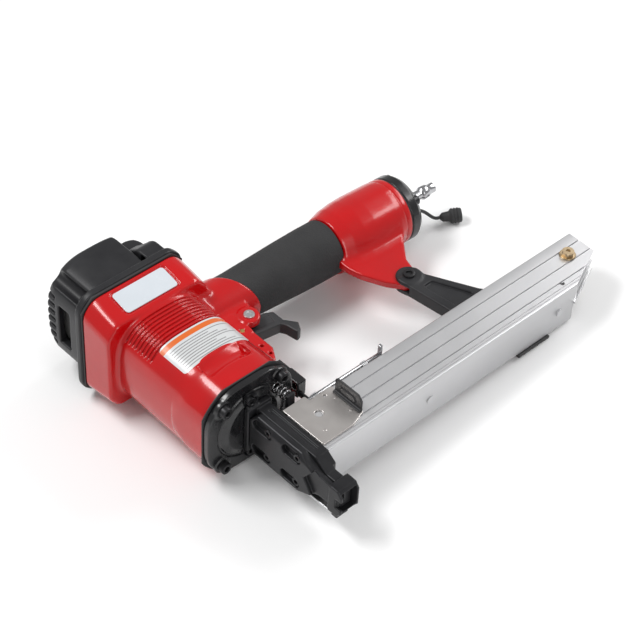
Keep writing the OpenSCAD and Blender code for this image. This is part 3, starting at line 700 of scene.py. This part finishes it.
def make_dust_cap():
    level = math.cos(CAP_TILT)
    along = (math.sin(CAP_TURN) * level, math.cos(CAP_TURN) * level, math.sin(CAP_TILT))
    profile = [(0, 0.1), (0, 2.2), (0.5, 2.5), (2, 3.9), (3, 4.1), (7.4, 4.5),
               (8.4, 5.0), (9, 6.0)]
    for ridge in range(3):
        start = 9.6 + ridge * 2.6
        profile += [(start, 6.3), (start + 0.4, 6.85), (start + 1.5, 6.85), (start + 1.9, 6.3)]
    profile += [(17.6, 6.4), (18.6, 6.2), (19, 5.8), (19, 4.7), (18.6, 4.4),
                (10.5, 4.3), (10.2, 0.1)]
    return stand_for(lathe("dust_cap_moulding", STRAP_ROUTE[-1], along, profile), "dust_cap")


make_strap(make_dust_cap())

# ---------- driving dimensions of the castings ----------

HANDLE_X = -140.3
HANDLE_LEAN = 1.75
HEAD_REAR, HEAD_FRONT = -168, -136
HEAD_HALF, HEAD_ROUND = 50.5, 64
BARREL_HALF, BARREL_ROUND = 42, 46.5
FRONT = -34
COVER_FACE = -27
FLANGE_HALF, FLANGE_ROUND = 42.6, 47
CAP_SEAT, CAP_JOINT, CAP_REAR = -176, -170, -222
GRIP_END = 179
GRIP_SLANT, GRIP_SLANT_Y = 31, 75
BELL_END = 252
PLUG_Y = 266
ARM_PIVOT = (-60, 203)
ARM_PIN_R = 4.05
VALVE_SCREW = (-104, 66)
HEAD_SLOPE = 12
CAP_SCREW = (38, 38)
QUARTERS = [math.radians(angle) for angle in (45, 135, 225, 315)]


def on_handle(solid):
    return turned_about(Z, -HANDLE_LEAN, solid, (HANDLE_X, 0, 0))


def handle_point(x, y, z):
    lean = math.radians(HANDLE_LEAN)
    return (HANDLE_X + x * math.cos(lean) + y * math.sin(lean), y * math.cos(lean) - x * math.sin(lean), z)


def grip_plane(shift):
    """What lies before the slanted plane where the grip meets the casting."""
    angle = math.radians(GRIP_SLANT - HANDLE_LEAN)
    place = handle_point(0, GRIP_SLANT_Y + shift, 0)
    return half_space(place, (-math.sin(angle), math.cos(angle), 0))


def on_head(solid):
    """Set on the head's sloping upper face, with X running forwards from its rear edge."""
    return turned_about(Y, HEAD_SLOPE, solid, (HEAD_REAR, 0, HEAD_HALF))


def head_field():
    head = squircle(HEAD_HALF, HEAD_ROUND, HEAD_REAR, HEAD_FRONT, 2.0, 5)
    taper = turned(X, (0, 0), [(HEAD_REAR - 1, HEAD_ROUND), (HEAD_FRONT + 4, HEAD_ROUND - 5)])
    slope = math.radians(HEAD_SLOPE)
    upper = half_space((HEAD_REAR, 0, HEAD_HALF), (math.sin(slope), 0, math.cos(slope)))
    lower = half_space((HEAD_REAR, 0, -HEAD_HALF), (math.sin(slope), 0, -math.cos(slope)))
    recess = on_head(extrusion(Z, [(3.9, -27.2), (28.1, -27.2), (28.1, 27.2), (3.9, 27.2)], -1.3, 4, 3.5))
    return cut(0.5, common(3, head, taper, upper, lower), recess)


def barrel_band(grown, start, end, edge=0.0):
    return squircle(BARREL_HALF + grown, BARREL_ROUND + grown, start, end, edge, 7)


def barrel_field():
    barrel = barrel_band(0, HEAD_FRONT - 4, FRONT, 1.2)
    grooves = []
    for i in range(9):
        start = HEAD_FRONT + 3.2 + i * 3.7
        ring = cut(0, barrel_band(4, start, start + 1.9), barrel_band(-1.9, start - 3, start + 5))
        grooves.append(common(3, ring, mirrored(Z, half_space((0, 0, 27), (0, 0, -1)))))
    flare = common(2, squircle(FLANGE_HALF, FLANGE_ROUND, -70, FRONT, 0.8, 4),
                   turned(X, (0, 0), [(-72, 42), (-58, 47), (-50, FLANGE_ROUND + 2), (FRONT + 2, 52)]))
    shell = join(2, cut(0.8, barrel, *grooves), flare)
    dish = common(3, scoop_ring, half_space((0, -28, 0), (0, -1, 0.2)), half_space((0, 30, 0), (0, 1, 0.2)),
                  half_space((0, 0, 20), (0, 0, -1)))
    return cut(0.8, shell, dish)


def scoop_ring(p):
    """A dish behind the flange: the outside of a ring that lies on the top of the barrel."""
    around = np.hypot(p[:, Y], p[:, Z] + 20)
    return np.hypot(p[:, X] + 59.3, around - 71.5) - 11.7


def handle_fields():
    neck = common(1.0, on_handle(rod(Y, (0, 0), 23.6, 20, 130)), grip_plane(0))
    core = on_handle(rod(Y, (0, 0), 17.5, 20, GRIP_END + 4))
    bell = turned(Y, (0, 0), [
        (GRIP_END + 0.3, 25.8), (GRIP_END + 2, 26.4), (GRIP_END + 11, 29), (GRIP_END + 24, 30.6),
        (GRIP_END + 36, 31), (BELL_END - 12, 30.6), (BELL_END - 6, 30.2), (BELL_END, 30)], 0.8)
    return neck, core, on_handle(bell)


def web_field():
    px, py = ARM_PIVOT
    web = extrusion(Z, [
        (-118, 172), (-100, 172.5), (-88, 175.5), (-68, 185), (px + 5, py - 8), (px + 5, py + 8),
        (-77, 217.5), (-100, 236), (-118, 244)], -3.4, 3.4, 2, 1)
    return join(2, rod(Z, ARM_PIVOT, 9.5, -3, 3, 0.6), web)


def cheek_fields():
    upper = join(3,
                 extrusion(Z, [(-114, 30), (-114, 57.5), (-66, 57.5), (-54, 50), (-54, 30)], 7, 12, 4, 1.0),
                 rod(Z, TRIGGER_PIN, 7.5, 7, 12, 1),
                 rod(Z, VALVE_SCREW, 9, 7, 14, 1.2),
                 block((-126, 44, 7), (-104, 75, 13), 2))
    return mirrored(Z, upper)


def housing():
    neck, core, bell = handle_fields()
    solid = join(4, head_field(), barrel_field())
    solid = join(7, solid, neck)
    solid = join(2.5, solid, cheek_fields())
    tail = join(9, bell, web_field())
    solid = join(0.5, solid, core, tail)
    holes = [
        rod(X, (0, 0), 36, HEAD_REAR - 2, FRONT + 2),
        block((-112, 38, -7), (-50, 82, 7), 1),
        rod(Z, TRIGGER_PIN, 2.05, -30, 30),
        rod(Z, (-73, 52), 1.6, -30, 30),
        rod(Z, (-62.5, 52), 1.6, -30, 30),
        rod(Z, ARM_PIVOT, ARM_PIN_R, -20, 20),
        on_handle(rod(Y, (0, 0), 24, BELL_END - 22, BELL_END + 2)),
        on_handle(rod(Y, (0, 0), 13, 40, BELL_END - 10)),
    ]
    seam = cut(0, rod(Y, (0, 0), 40, BELL_END - 6.2, BELL_END - 5.4), rod(Y, (0, 0), 29.7, 200, 300))
    field = cut(0.4, solid, *holes, on_handle(seam))
    cast("housing_casting", field, (-170, -54, -54), (-30, 256, 54), 1.0, "housing")


def at_four(y, z):
    return [(sy * y, sz * z) for sy in (-1, 1) for sz in (-1, 1)]


def rear_cap():
    rim = squircle(52, 66, CAP_SEAT, CAP_JOINT, 1.3, 4)
    tube = common(5, squircle(46.5, 56, CAP_REAR, CAP_SEAT + 3, 4, 8),
                  turned(X, (0, 0), [(CAP_REAR - 2, 47), (CAP_REAR + 9, 57), (CAP_SEAT + 4, 57)]))
    step = block((CAP_REAR - 20, 21, 31), (CAP_SEAT, 70, 70), 2)
    corners = [rod(X, (y, z), 9.5, CAP_REAR - 20, CAP_SEAT, 1) for y, z in at_four(43, 43)]
    duct = common(2.5, block((-204, 22.5, 12), (CAP_SEAT + 3, 41.5, 49), 2),
                  half_space((-204, 0, 39), (-0.6, 0, 0.8)))
    solid = join(4, rim, join(1.5, cut(2.5, tube, step, *corners), duct))
    slats = []
    for z in range(-24, 25, 8):
        slats.append(block((-240, -60, z - 1.9), (CAP_REAR + 12, -24, z + 1.9), 0.9))
        slats.append(block((-240, -18, z - 1.9), (CAP_REAR + 12, 30, z + 1.9), 0.9))
    mouths = [
        block((-205, -60, -20), (-191, -36, 20), 2),
        block((-185, 20, 41), (-179.5, 26.5, 47), 1),
        block((-230, 27, 14), (-201, 37.5, 24), 1.5),
    ]
    wells = [rod(X, (y, z), 6.2, -240, CAP_SEAT, 0.3) for y, z in at_four(*CAP_SCREW)]
    hollow = squircle(41, 44.5, CAP_REAR + 5, CAP_JOINT - 9, 1, 4)
    hollow = cut(0, hollow, block((-240, 18, 27), (-150, 60, 60)))
    field = cut(1.2, solid, *slats, *mouths, *wells)
    field = cut(0, field, hollow, rod(X, (0, 0), 36, CAP_JOINT - 4, CAP_JOINT + 2))
    cast("rear_cap_casting", field, (CAP_REAR, -53, -53), (CAP_JOINT, 53, 53), 0.9, "rear_cap")


def cap_screws():
    pieces = [socket_screw((CAP_SEAT, y, z), (-1, 0, 0), 5, 6) for y, z in at_four(*CAP_SCREW)]
    stand_for(merge("cap_screw_heads", pieces), "cap_screws")


COVER_SCREW = (28.5, 30.5)
BASE_SCREW = (-4, 27)
SPRING_PLACE = (25, 20)


def front_cover():
    flange = squircle(FLANGE_HALF, FLANGE_ROUND, FRONT + 1, COVER_FACE, 0.9, 4)
    boss = turned(X, (0, 0), [(-38, 35.9), (-34, 35.9), (-30, 34), (COVER_FACE, 30), (COVER_FACE + 3, 25)], 1)
    pads = [rod(X, (y, z), 7.2, COVER_FACE - 3, COVER_FACE + 0.8, 0.6) for y, z in at_four(*COVER_SCREW)]
    ears = mirrored(Z, block((COVER_FACE, -8.8, 19.7), (COVER_FACE + 12, 2.3, 40)))
    pocket = rod(X, SPRING_PLACE, 5.2, COVER_FACE - 3, 0, 0.2)
    ring = cut(0, rod(X, (0, 0), 33.5, COVER_FACE - 0.8, 0), rod(X, (0, 0), 31.5, -40, 1))
    blade_slot = block((-70, -1.3, -6.6), (0, 1.3, 6.6))
    field = cut(0.3, join(1.5, flange, boss, *pads), ring, pocket, ears, blade_slot)
    cast("front_cover_casting", field, (-39, -45, -45), (-22, 45, 45), 0.7, "front_cover")
    pieces = [socket_screw((COVER_FACE, y, z), (1, 0, 0), 5, 6) for y, z in at_four(*COVER_SCREW)]
    stand_for(merge("cover_screw_heads", pieces), "cover_screws")
    seats = [socket_screw((-25, BASE_SCREW[0], s * BASE_SCREW[1]), (1, 0, 0), 4, 4) for s in (-1, 1)]
    stand_for(merge("nose_base_screw_heads", seats), "nose_base_screws")


NOSE_OUTLINE = [(-21, -19.6), (46, -19.6), (58, -11), (75, -11), (75, 11), (58, 11), (46, 19.6), (-21, 19.6)]
NOSE_SCREWS = [(x, z) for x in (1, 33.4) for z in (-13, 13)]


def nose():
    base = block((COVER_FACE + 3, -10, -22), (-19, 14, 22), 1)
    ear = common(1, block((COVER_FACE, -8.5, 19), (-21, 2, 32), 1), rod(X, (-3.5, 25), 9, -30, -15))
    bar = extrusion(Y, NOSE_OUTLINE, -1.1, 11.4, 1.5, 0.8)
    relief = block((55, 8, -20), (90, 20, 20), 0.5)
    flutes = mirrored(Z, block((-12, 4.2, 18.4), (40, 7.4, 24), 0.6))
    seats = [rod(X, (BASE_SCREW[0], s * BASE_SCREW[1]), 4.6, -25, 0) for s in (-1, 1)]
    field = cut(0.5, join(1.2, base, mirrored(Z, ear), bar), relief, flutes, *seats,
                block((-70, -1.2, -6.6), (77, 1.3, 6.6)), block((2, 1, -7), (44.6, 20, 7)))
    cast("nose_guide_block", field, (-28, -11, -33), (76, 15, 33), 0.7, "nose_guide")
    face = extrusion(Y, [(-18, -15), (-13, -19.6), (36, -19.6), (51, -13), (42, 0), (51, 13), (36, 19.6),
                         (-13, 19.6), (-18, 15)], -9.3, -1.1, 1.2, 0.6)
    tip = extrusion(Y, [(30, -19.4), (36, -19.4), (56, -10.6), (75, -9),
                        (75, 9), (56, 10.6), (36, 19.4), (30, 19.4)], -6, -1.1, 1, 0.5)
    slope = math.radians(52)
    bevel = half_space((0, -9.3, 15.4), (0, -math.sin(slope), math.cos(slope)))
    pockets = []
    for x, z in NOSE_SCREWS:
        pockets.append(join(0, rod(Y, (x, z), 4.3, -20, -5.2), rod(Y, (x - 12, z), 4.3, -20, -5.2),
                            block((x - 12, -20, z - 4.3), (x, -5.2, z + 4.3))))
    field = common(0.8, cut(0.6, join(0.8, face, tip), *pockets), bevel)
    cast("nose_face_plate", field, (-19, -10, -20), (76, 0, 20), 0.6, "nose_plate")
    heads = [socket_screw((x, -5.2, z), (0, -1, 0), 3.8, 3.4) for x, z in NOSE_SCREWS]
    stand_for(merge("nose_screw_heads", heads), "nose_screws")


def contact_foot():
    outline = [(68, -13.2), (78, -13.2), (82, -8), (82, 9), (78, 14.2), (68, 14.2)]
    hood = extrusion(Y, outline, -8.8, 10.2, 1.5, 1)
    link = block((68, -4, -22.6), (74, 8, -11), 0.6)
    inside = block((60, -6.5, -11.4), (90, 8.4, 11.4), 0.8)
    notch = block((75.5, -20, -4.5), (90, -5, 5), 1)
    field = cut(0.5, join(1, hood, link), inside, notch)
    cast("contact_foot_hood", field, (67, -10, -23), (83, 11, 15), 0.55, "contact_foot")


def safety_parts():
    strip = block((-9, -4, -22.6), (69, 8, -20.1), 0.5)
    cast("safety_yoke_strip", strip, (-10, -5, -23), (70, 9, -19), 0.6, "safety_yoke")
    plates = [
        block((-9, 7.6, -22.5), (1, 53, -20.2), 0.4),
        block((-9, 50.5, -22.6), (-1, 53, -4), 0.5),
        block((-30, 50.5, -9), (-1, 53, -4), 0.5),
        block((-12, 21, -22.6), (-9.5, 29, 24.5), 0.5),
        block((-12, 21, -22.6), (-7, 29, -20.1), 0.5),
    ]
    leaf = skin("safety_yoke_leaf", join(1, *plates), (-31, 7, -23), (2, 54, 25), 0.6)
    leaf.data.materials.append(FINISHES["black_cast"])
    stand_for(leaf, "safety_yoke")
    boxes = [block((-44, 48.5, -9.5), (-27, 57.5, 6.5), 1), block((-57, 49.5, -6.3), (-43, 56.5, 6.3), 0.8)]
    hollows = [block((-41.5, 50.4, -12), (-20, 53.1, -3.9)), block((-42, 40, -2.5), (-29, 54.5, 4), 0.5)]
    field = cut(0.4, join(1, *boxes), *hollows)
    cast("safety_bracket_box", field, (-58, 48, -10), (-26, 58, 7), 0.55, "safety_bracket")
    seat = (-29.9, *SPRING_PLACE)
    spring = coil("safety_spring_coil", seat, (1, 0, 0), 4, 0.75, 17.8, 4.6)
    stand_for(spring, "safety_spring")
    to_row(seat)
    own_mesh(spring)


def trigger():
    lever = extrusion(Z, [
        (-101, 46), (-90, 45.5), (-88, 52), (-90, 62), (-86.5, 84), (-82, 86.5), (-70.5, 88.5), (-72, 93),
        (-79, 97), (-89, 89.5), (-101, 89.5), (-105, 82), (-107.4, 67), (-104.5, 56)], -5.6, 5.6, 1.3, 1.5)
    side = extrusion(Z, [(-100, 60), (-94, 62), (-91, 82), (-100, 84), (-103, 74)], 4.8, 12, 1, 0.3)
    field = cut(0.6, lever, rod(Z, TRIGGER_PIN, 2.05, -10, 10), mirrored(Z, side))
    cast("trigger_lever", field, (-109, 44, -6), (-69, 99, 6), 0.55, "trigger")
    pin = lathe("trigger_pin_rod", (*TRIGGER_PIN, -12.6), (0, 0, 1), [
        (0, 0.1), (0, 1.6), (0.4, 2), (24.8, 2), (25.2, 1.6), (25.2, 0.1)], 32)
    stand_for(pin, "trigger_pin")


def valve_screw():
    head = lathe("valve_side_screw_disc", (*VALVE_SCREW, 12), (0, 0, 1), [
        (-4, 0.1), (-4, 3.5), (2, 3.5), (2, 4.6), (3, 4.6), (3.5, 4.1), (3.5, 2.4),
        (2.8, 2.1), (2.8, 0.1)], 40)
    stand_for(head, "valve_side_screw")


def grip():
    profile = [(40, 21.9), (80, 22), (110, 23.2), (135, 24.3), (160, 25), (GRIP_END, 25)]
    sleeve = common(1.6, on_handle(turned(Y, (0, 0), profile, 2)), inverse(grip_plane(0.15)))
    field = cut(0, sleeve, on_handle(rod(Y, (0, 0), 17.5, 30, GRIP_END + 6)))
    cast("grip_foam", field, (-168, 50, -26), (-108, 181, 26), 0.9, "grip_sleeve")


def end_cap():
    seat = BELL_END + 9
    screws = [(24 * math.cos(angle), 24 * math.sin(angle)) for angle in QUARTERS]
    profile = [(BELL_END + 1, 30), (seat, 30), (BELL_END + 12.5, 27.5), (PLUG_Y, 25)]
    cover = on_handle(turned(Y, (0, 0), profile, 0.7))
    boss = on_handle(rod(Y, (0, 0), 12, 258, PLUG_Y + 0.6, 0.6))
    holes = [on_handle(rod(Y, screw, 5.3, seat, 280)) for screw in screws]
    holes.append(on_handle(rod(Y, (0, 0), 6.6, 240, 280)))
    holes.append(on_handle(rod(Y, (11, -1), 1.7, 259, 280)))
    field = cut(0.6, join(1, cover, boss), *holes)
    cast("end_cap_casting", field, (-166, 250, -31), (-98, 269, 31), 0.7, "end_cap")
    lean = math.radians(HANDLE_LEAN)
    along = (math.sin(lean), math.cos(lean), 0)
    heads = [socket_screw(handle_point(x, seat, z), along, 4.4, 6) for x, z in screws]
    stand_for(merge("end_cap_screw_heads", heads), "end_cap_screws")
    plug = lathe("air_plug_turned", handle_point(0, PLUG_Y, 0), along, [
        (-8, 0.1), (-8, 6.5), (0, 6.5), (0, 8.7), (0.4, 9), (1.2, 9), (1.5, 8.7),
        (1.5, 7.6, "h"), (2, 8, "h"), (8, 8, "h"), (8.5, 7.6, "h"), (8.5, 6.2), (14.4, 6.2), (15, 5.8),
        (16, 4.4), (22, 4.4), (23.4, 5.6), (24, 5.9), (29.6, 5.9), (30.2, 5.6),
        (32, 4.6), (37.6, 4.6), (38, 4.2), (38, 2.8), (12, 2.8), (12, 0.05)], 72)
    stand_for(plug, "air_plug")


def support_arm():
    px, py = ARM_PIVOT
    bar = extrusion(Z, [
        (-62, 193), (-52, 193.5), (-8, 199), (-3, 192), (0, 192), (0, 243), (-3, 243), (-12, 236),
        (-54, 214), (-62, 213)], -6, 6, 1, 1.1)
    eye = rod(Z, ARM_PIVOT, 11, -6, 6, 1.2)
    fork = join(0, block((-90, 185, -3.1), (-50, 225, 3.1)), rod(Z, ARM_PIVOT, 12, -3.1, 3.1))
    panel = mirrored(Z, extrusion(Z, [(-43, 203), (-9, 207), (-9, 229), (-43, 213)], 4.2, 12, 2.5, 0.6))
    field = cut(0.8, join(3, bar, eye), panel)
    field = cut(0.2, field, fork, rod(Z, ARM_PIVOT, ARM_PIN_R, -20, 20))
    cast("support_arm_casting", field, (-72, 191, -7), (0.5, 244, 7), 0.7, "support_arm")
    heads = [socket_screw((px, py, 6), (0, 0, 1), 5.2, 2.8), socket_screw((px, py, -6), (0, 0, -1), 5.2, 2.4)]
    shank = lathe("shank", (px, py, -6), (0, 0, 1), [(0, 0.1), (0, 4), (12, 4), (12, 0.1)], 40)
    stand_for(merge("arm_pin_bolt", heads + [shank]), "arm_pin")


# ---------- magazine ----------

MAG_DEPTH, MAG_HALF = 47, 19.6
MAG_FRONT, MAG_END, MAG_STEP = 11.4, 331, 288
BEND_X = 27.9
GROOVES = [(11.6, 1.7, 1.2), (24.7, 1.7, 1.2), (36.8, 1.7, 1.2), (41.8, 0.9, 0.5), (44.2, 0.8, 0.4)]
PLATE_Z = 19.6
EAR_Z = 21.0
EAR_Y = 57.0


def rounded_corner(cx, cy, radius, start):
    steps = 5
    angles = [math.radians(start + 90 * i / steps) for i in range(steps + 1)]
    return [(cx + radius * math.cos(angle), cy + radius * math.sin(angle)) for angle in angles]


def groove(x, width, depth, side):
    """A groove in the magazine's upper (side 1) or lower (side -1) face."""
    bottom = side * (MAG_HALF - depth)
    return [(x + side * width / 2, side * MAG_HALF), (x + side * width / 4, bottom),
            (x - side * width / 4, bottom), (x - side * width / 2, side * MAG_HALF)]


def magazine_section():
    """Outer outline in X and Z with rounded corners and grooves, and the three chambers."""
    r = 1.6
    outer = rounded_corner(MAG_DEPTH - r, MAG_HALF - r, r, 0)
    for x, width, depth in reversed(GROOVES):
        outer += groove(x, width, depth, 1)
    outer += rounded_corner(r, MAG_HALF - r, r, 90)
    outer += rounded_corner(r, -MAG_HALF + r, r, 180)
    for x, width, depth in GROOVES:
        outer += groove(x, width, depth, -1)
    outer += rounded_corner(MAG_DEPTH - r, -MAG_HALF + r, r, 270)
    chambers = [[(2.8, low), (44.6, low), (44.6, high), (2.8, high)]
                for low, high in ((-7, 7), (8.6, 18), (-18, -8.6))]
    return outer, chambers


def cutter(name, corners_xy, low, high):
    count = len(corners_xy)
    points = [(x, y, z) for z in (low, high) for x, y in corners_xy]
    faces = [tuple(range(count))[::-1], tuple(range(count, 2 * count))]
    faces += [(k, (k + 1) % count, count + (k + 1) % count, count + k) for k in range(count)]
    return mesh_piece(name, points, faces, False)


def carve(piece, tool):
    cutting = piece.modifiers.new("cut", "BOOLEAN")
    cutting.operation = "DIFFERENCE"
    cutting.solver = "EXACT"
    cutting.object = tool
    bpy.context.view_layer.update()
    shape = bpy.data.meshes.new_from_object(piece.evaluated_get(bpy.context.evaluated_depsgraph_get()))
    piece.modifiers.clear()
    piece.data = shape
    bpy.data.objects.remove(tool)


def magazine():
    outer, chambers = magazine_section()
    loops = [outer] + chambers
    corners = [corner for loop in loops for corner in loop]
    count = len(corners)
    points = [(x, y, z) for y in (MAG_FRONT, MAG_END) for x, z in corners]
    faces = []
    for a, b, c in tessellate_polygon([[(x, z, 0) for x, z in loop] for loop in loops]):
        (ax, az), (bx, bz), (cx, cz) = corners[a], corners[b], corners[c]
        if (bx - ax) * (cz - az) < (cx - ax) * (bz - az):
            b, c = c, b
        faces += [(a, b, c), (count + a, count + c, count + b)]
    start = 0
    for loop in loops:
        for k in range(len(loop)):
            near, far = start + k, start + (k + 1) % len(loop)
            wall = (far, near, count + near, count + far)
            faces.append(wall if loop is outer else wall[::-1])
        start += len(loop)
    body = mesh_piece("magazine_extrusion", points, faces, False)
    slant_end = MAG_END - (60 - BEND_X) * 43 / (MAG_DEPTH - BEND_X)
    slant = [(BEND_X, MAG_END), (60, slant_end), (60, 350), (BEND_X, 350)]
    step = [(-5, MAG_STEP), (60, MAG_STEP), (60, 350), (-5, 350)]
    angles = [k * math.pi / 8 for k in range(16)]
    hole = [(38.3 + 2 * math.cos(angle), 280.3 + 2 * math.sin(angle)) for angle in angles]
    carve(body, cutter("slant", slant, -40, 40))
    carve(body, cutter("step", step, -40, 1))
    carve(body, cutter("hole", hole, 16, 30))
    body.data.shade_smooth()
    body.data.set_sharp_from_angle(angle=math.radians(30))
    stand_for(body, "magazine_body")


def magazine_fittings():
    outline = [(-4.6, 11.4), (41, 11.4), (41, 42), (36, EAR_Y), (0.5, EAR_Y), (0.5, 34), (-4.6, 34)]
    holes = [rod(Z, (15.6, 30.4), 3.5, 10, 30), rod(Z, (5, 46), 1.7, 10, 30)]
    sheet = cut(0.2, extrusion(Z, outline, PLATE_Z, EAR_Z, 1.2, 0.35), *holes)
    cast("guide_sheet", sheet, (-5, 11, 19), (42, 58, 22), 0.3, "guide_plate")
    foot = extrusion(Z, [(6, 52.8), (35, 52.8), (35, EAR_Y), (6, EAR_Y)], EAR_Z, EAR_Z + 1.6, 1, 0.5)
    upright = [(6, 20.9), (35, 20.9), (35, 31), (31, 35.5), (8, 35.5), (6, 33.5)]
    upright = extrusion(Y, upright, EAR_Y - 1.6, EAR_Y, 1.2, 0.4)
    ends = [rod(Y, (x, 28), 2.6, EAR_Y - 2.3, EAR_Y, 0.5) for x in (15, 26)]
    emboss = join(0, *ends, block((15, EAR_Y - 2.3, 25.4), (26, EAR_Y, 30.6), 0.5))
    cast("guide_ear_angle", join(1.2, foot, upright, emboss), (5, 45, 20.5), (36, 58, 36), 0.45, "guide_ear")
    rivets = [lathe("rivet", place, (0, 0, 1), [
        (0, 0.1), (0, 1.5), (1.45, 1.5), (1.5, 1.4), (1.5, 0.05)], 32)
        for place in ((12, 51, PLATE_Z), (29, 51, PLATE_Z), (31, 22, PLATE_Z))]
    stand_for(merge("rivet_heads", rivets), "ear_rivets")
    bar = lathe("bar", (-2.6, 22, 16.8), (0, 1, 0), [
        (0, 0.1), (0, 1.3), (0.4, 1.7), (91, 1.7), (91.4, 1.4), (91.4, 0.1)], 32)
    tab = skin("tab", block((-4.3, 111, 15.1), (-0.9, 113.5, 26.8), 0.5), (-5, 110, 14), (0, 114, 28), 0.4)
    stand_for(merge("latch_rod_bar", [bar, tab]), "latch_rod")
    guides = [block((-4.9, y, 13.6), (0, y + 6, 18.8), 1.2) for y in (40, 92)]
    cast("rod_guide_clips", cut(0.2, join(0, *guides), rod(Y, (-2.6, 16.8), 1.76, 20, 120)),
         (-5.6, 39, 13), (0.5, 99, 19.4), 0.45, "rod_guides")
    bolt = lathe("rear_bolt_turned", (17.8, 309.5, 19.6), (0, 0, 1), [
        (-23.6, 0.1), (-23.6, 5, "h"), (-20.6, 5, "h"), (-20.6, 3), (0, 3), (0, 7), (0.9, 7),
        (1.2, 6.7), (1.2, 5.6, "h"), (4.2, 5.6, "h"), (4.8, 4.9), (4.8, 2), (3.6, 1.6),
        (3.6, 0.05)], 72)
    stand_for(bolt, "rear_bolt")
    pad = block((36, 224, -22.6), (48.5, 261, -19.6), 0.8)
    ribs = [block((30, y, -30), (60, y + 2, -22.0), 0.3) for y in range(228, 258, 5)]
    cast("rest_pad_moulding", cut(0.3, pad, *ribs), (35, 223, -23), (49.5, 262, -19), 0.5, "rest_pad")


# ---------- labels ----------


def barrel_reach(angle):
    """Distance from the driving axis to the barrel's surface at an angle from the top."""
    section = barrel_band(0, -200, 200)
    low, high = BARREL_HALF - 4.0, BARREL_ROUND + 4.0
    for _ in range(24):
        middle = (low + high) / 2
        place = np.array([[0.0, middle * math.sin(angle), middle * math.cos(angle)]])
        if section(place)[0] < 0:
            low = middle
        else:
            high = middle
    return low


def caution_label():
    """A curved film with rounded corners on the barrel. U runs along the barrel, V around it."""
    rear, front = -101.5, -68.5
    start, end = math.radians(-39), math.radians(49)
    corner = 3.0
    rows, columns = 24, 48
    points = []
    layout = []
    for i in range(rows + 1):
        u = i / rows
        x = rear + (front - rear) * u
        near = min(x - rear, front - x)
        pull = corner - math.sqrt(max(corner ** 2 - (corner - near) ** 2, 0)) if near < corner else 0
        for k in range(columns + 1):
            v = k / columns
            angle = start + (end - start) * v
            angle += pull / BARREL_ROUND * (1 - 2 * v)
            for lift in (0.25, -0.15):
                r = barrel_reach(angle) + lift
                points.append((x, r * math.sin(angle), r * math.cos(angle)))
            layout.append((u, v))
    stride = 2 * (columns + 1)

    def at(i, k, under):
        return i * stride + 2 * k + under
    faces = [(at(i, k, 0), at(i, k + 1, 0), at(i + 1, k + 1, 0), at(i + 1, k, 0))
             for i in range(rows) for k in range(columns)]
    faces += [tuple(index + 1 for index in face[::-1]) for face in faces]
    for i in range(rows):
        faces += [(at(i, 0, 0), at(i + 1, 0, 0), at(i + 1, 0, 1), at(i, 0, 1)),
                  (at(i, columns, 1), at(i + 1, columns, 1), at(i + 1, columns, 0), at(i, columns, 0))]
    for k in range(columns):
        faces += [(at(0, k, 1), at(0, k + 1, 1), at(0, k + 1, 0), at(0, k, 0)),
                  (at(rows, k, 0), at(rows, k + 1, 0), at(rows, k + 1, 1), at(rows, k, 1))]
    film = mesh_piece("caution_label_film", points, faces)
    film.data.set_sharp_from_angle(angle=math.radians(40))
    places = film.data.uv_layers.new(name="UVMap")
    for loop in film.data.loops:
        places.data[loop.index].uv = layout[loop.vertex_index // 2]
    stand_for(film, "caution_label")


def name_plate():
    plate = extrusion(Z, [(5.4, -25.6), (26.6, -25.6), (26.6, 25.6), (5.4, 25.6)], -1.25, -0.3, 3, 0.25)
    low, high = (HEAD_REAR + 2, -27, 40), (HEAD_REAR + 30, 27, 52)
    cast("name_plate_sheet", on_head(plate), low, high, 0.5, "name_plate")


for make in (housing, rear_cap, cap_screws, front_cover, nose, contact_foot, safety_parts, trigger,
             valve_screw, grip, end_cap, support_arm, magazine, magazine_fittings, caution_label, name_plate):
    make()

# ---------- end ----------

for node, obj in frame["nodes"].items():
    obj.data.materials.clear()
    obj.data.materials.append(look_of(node))
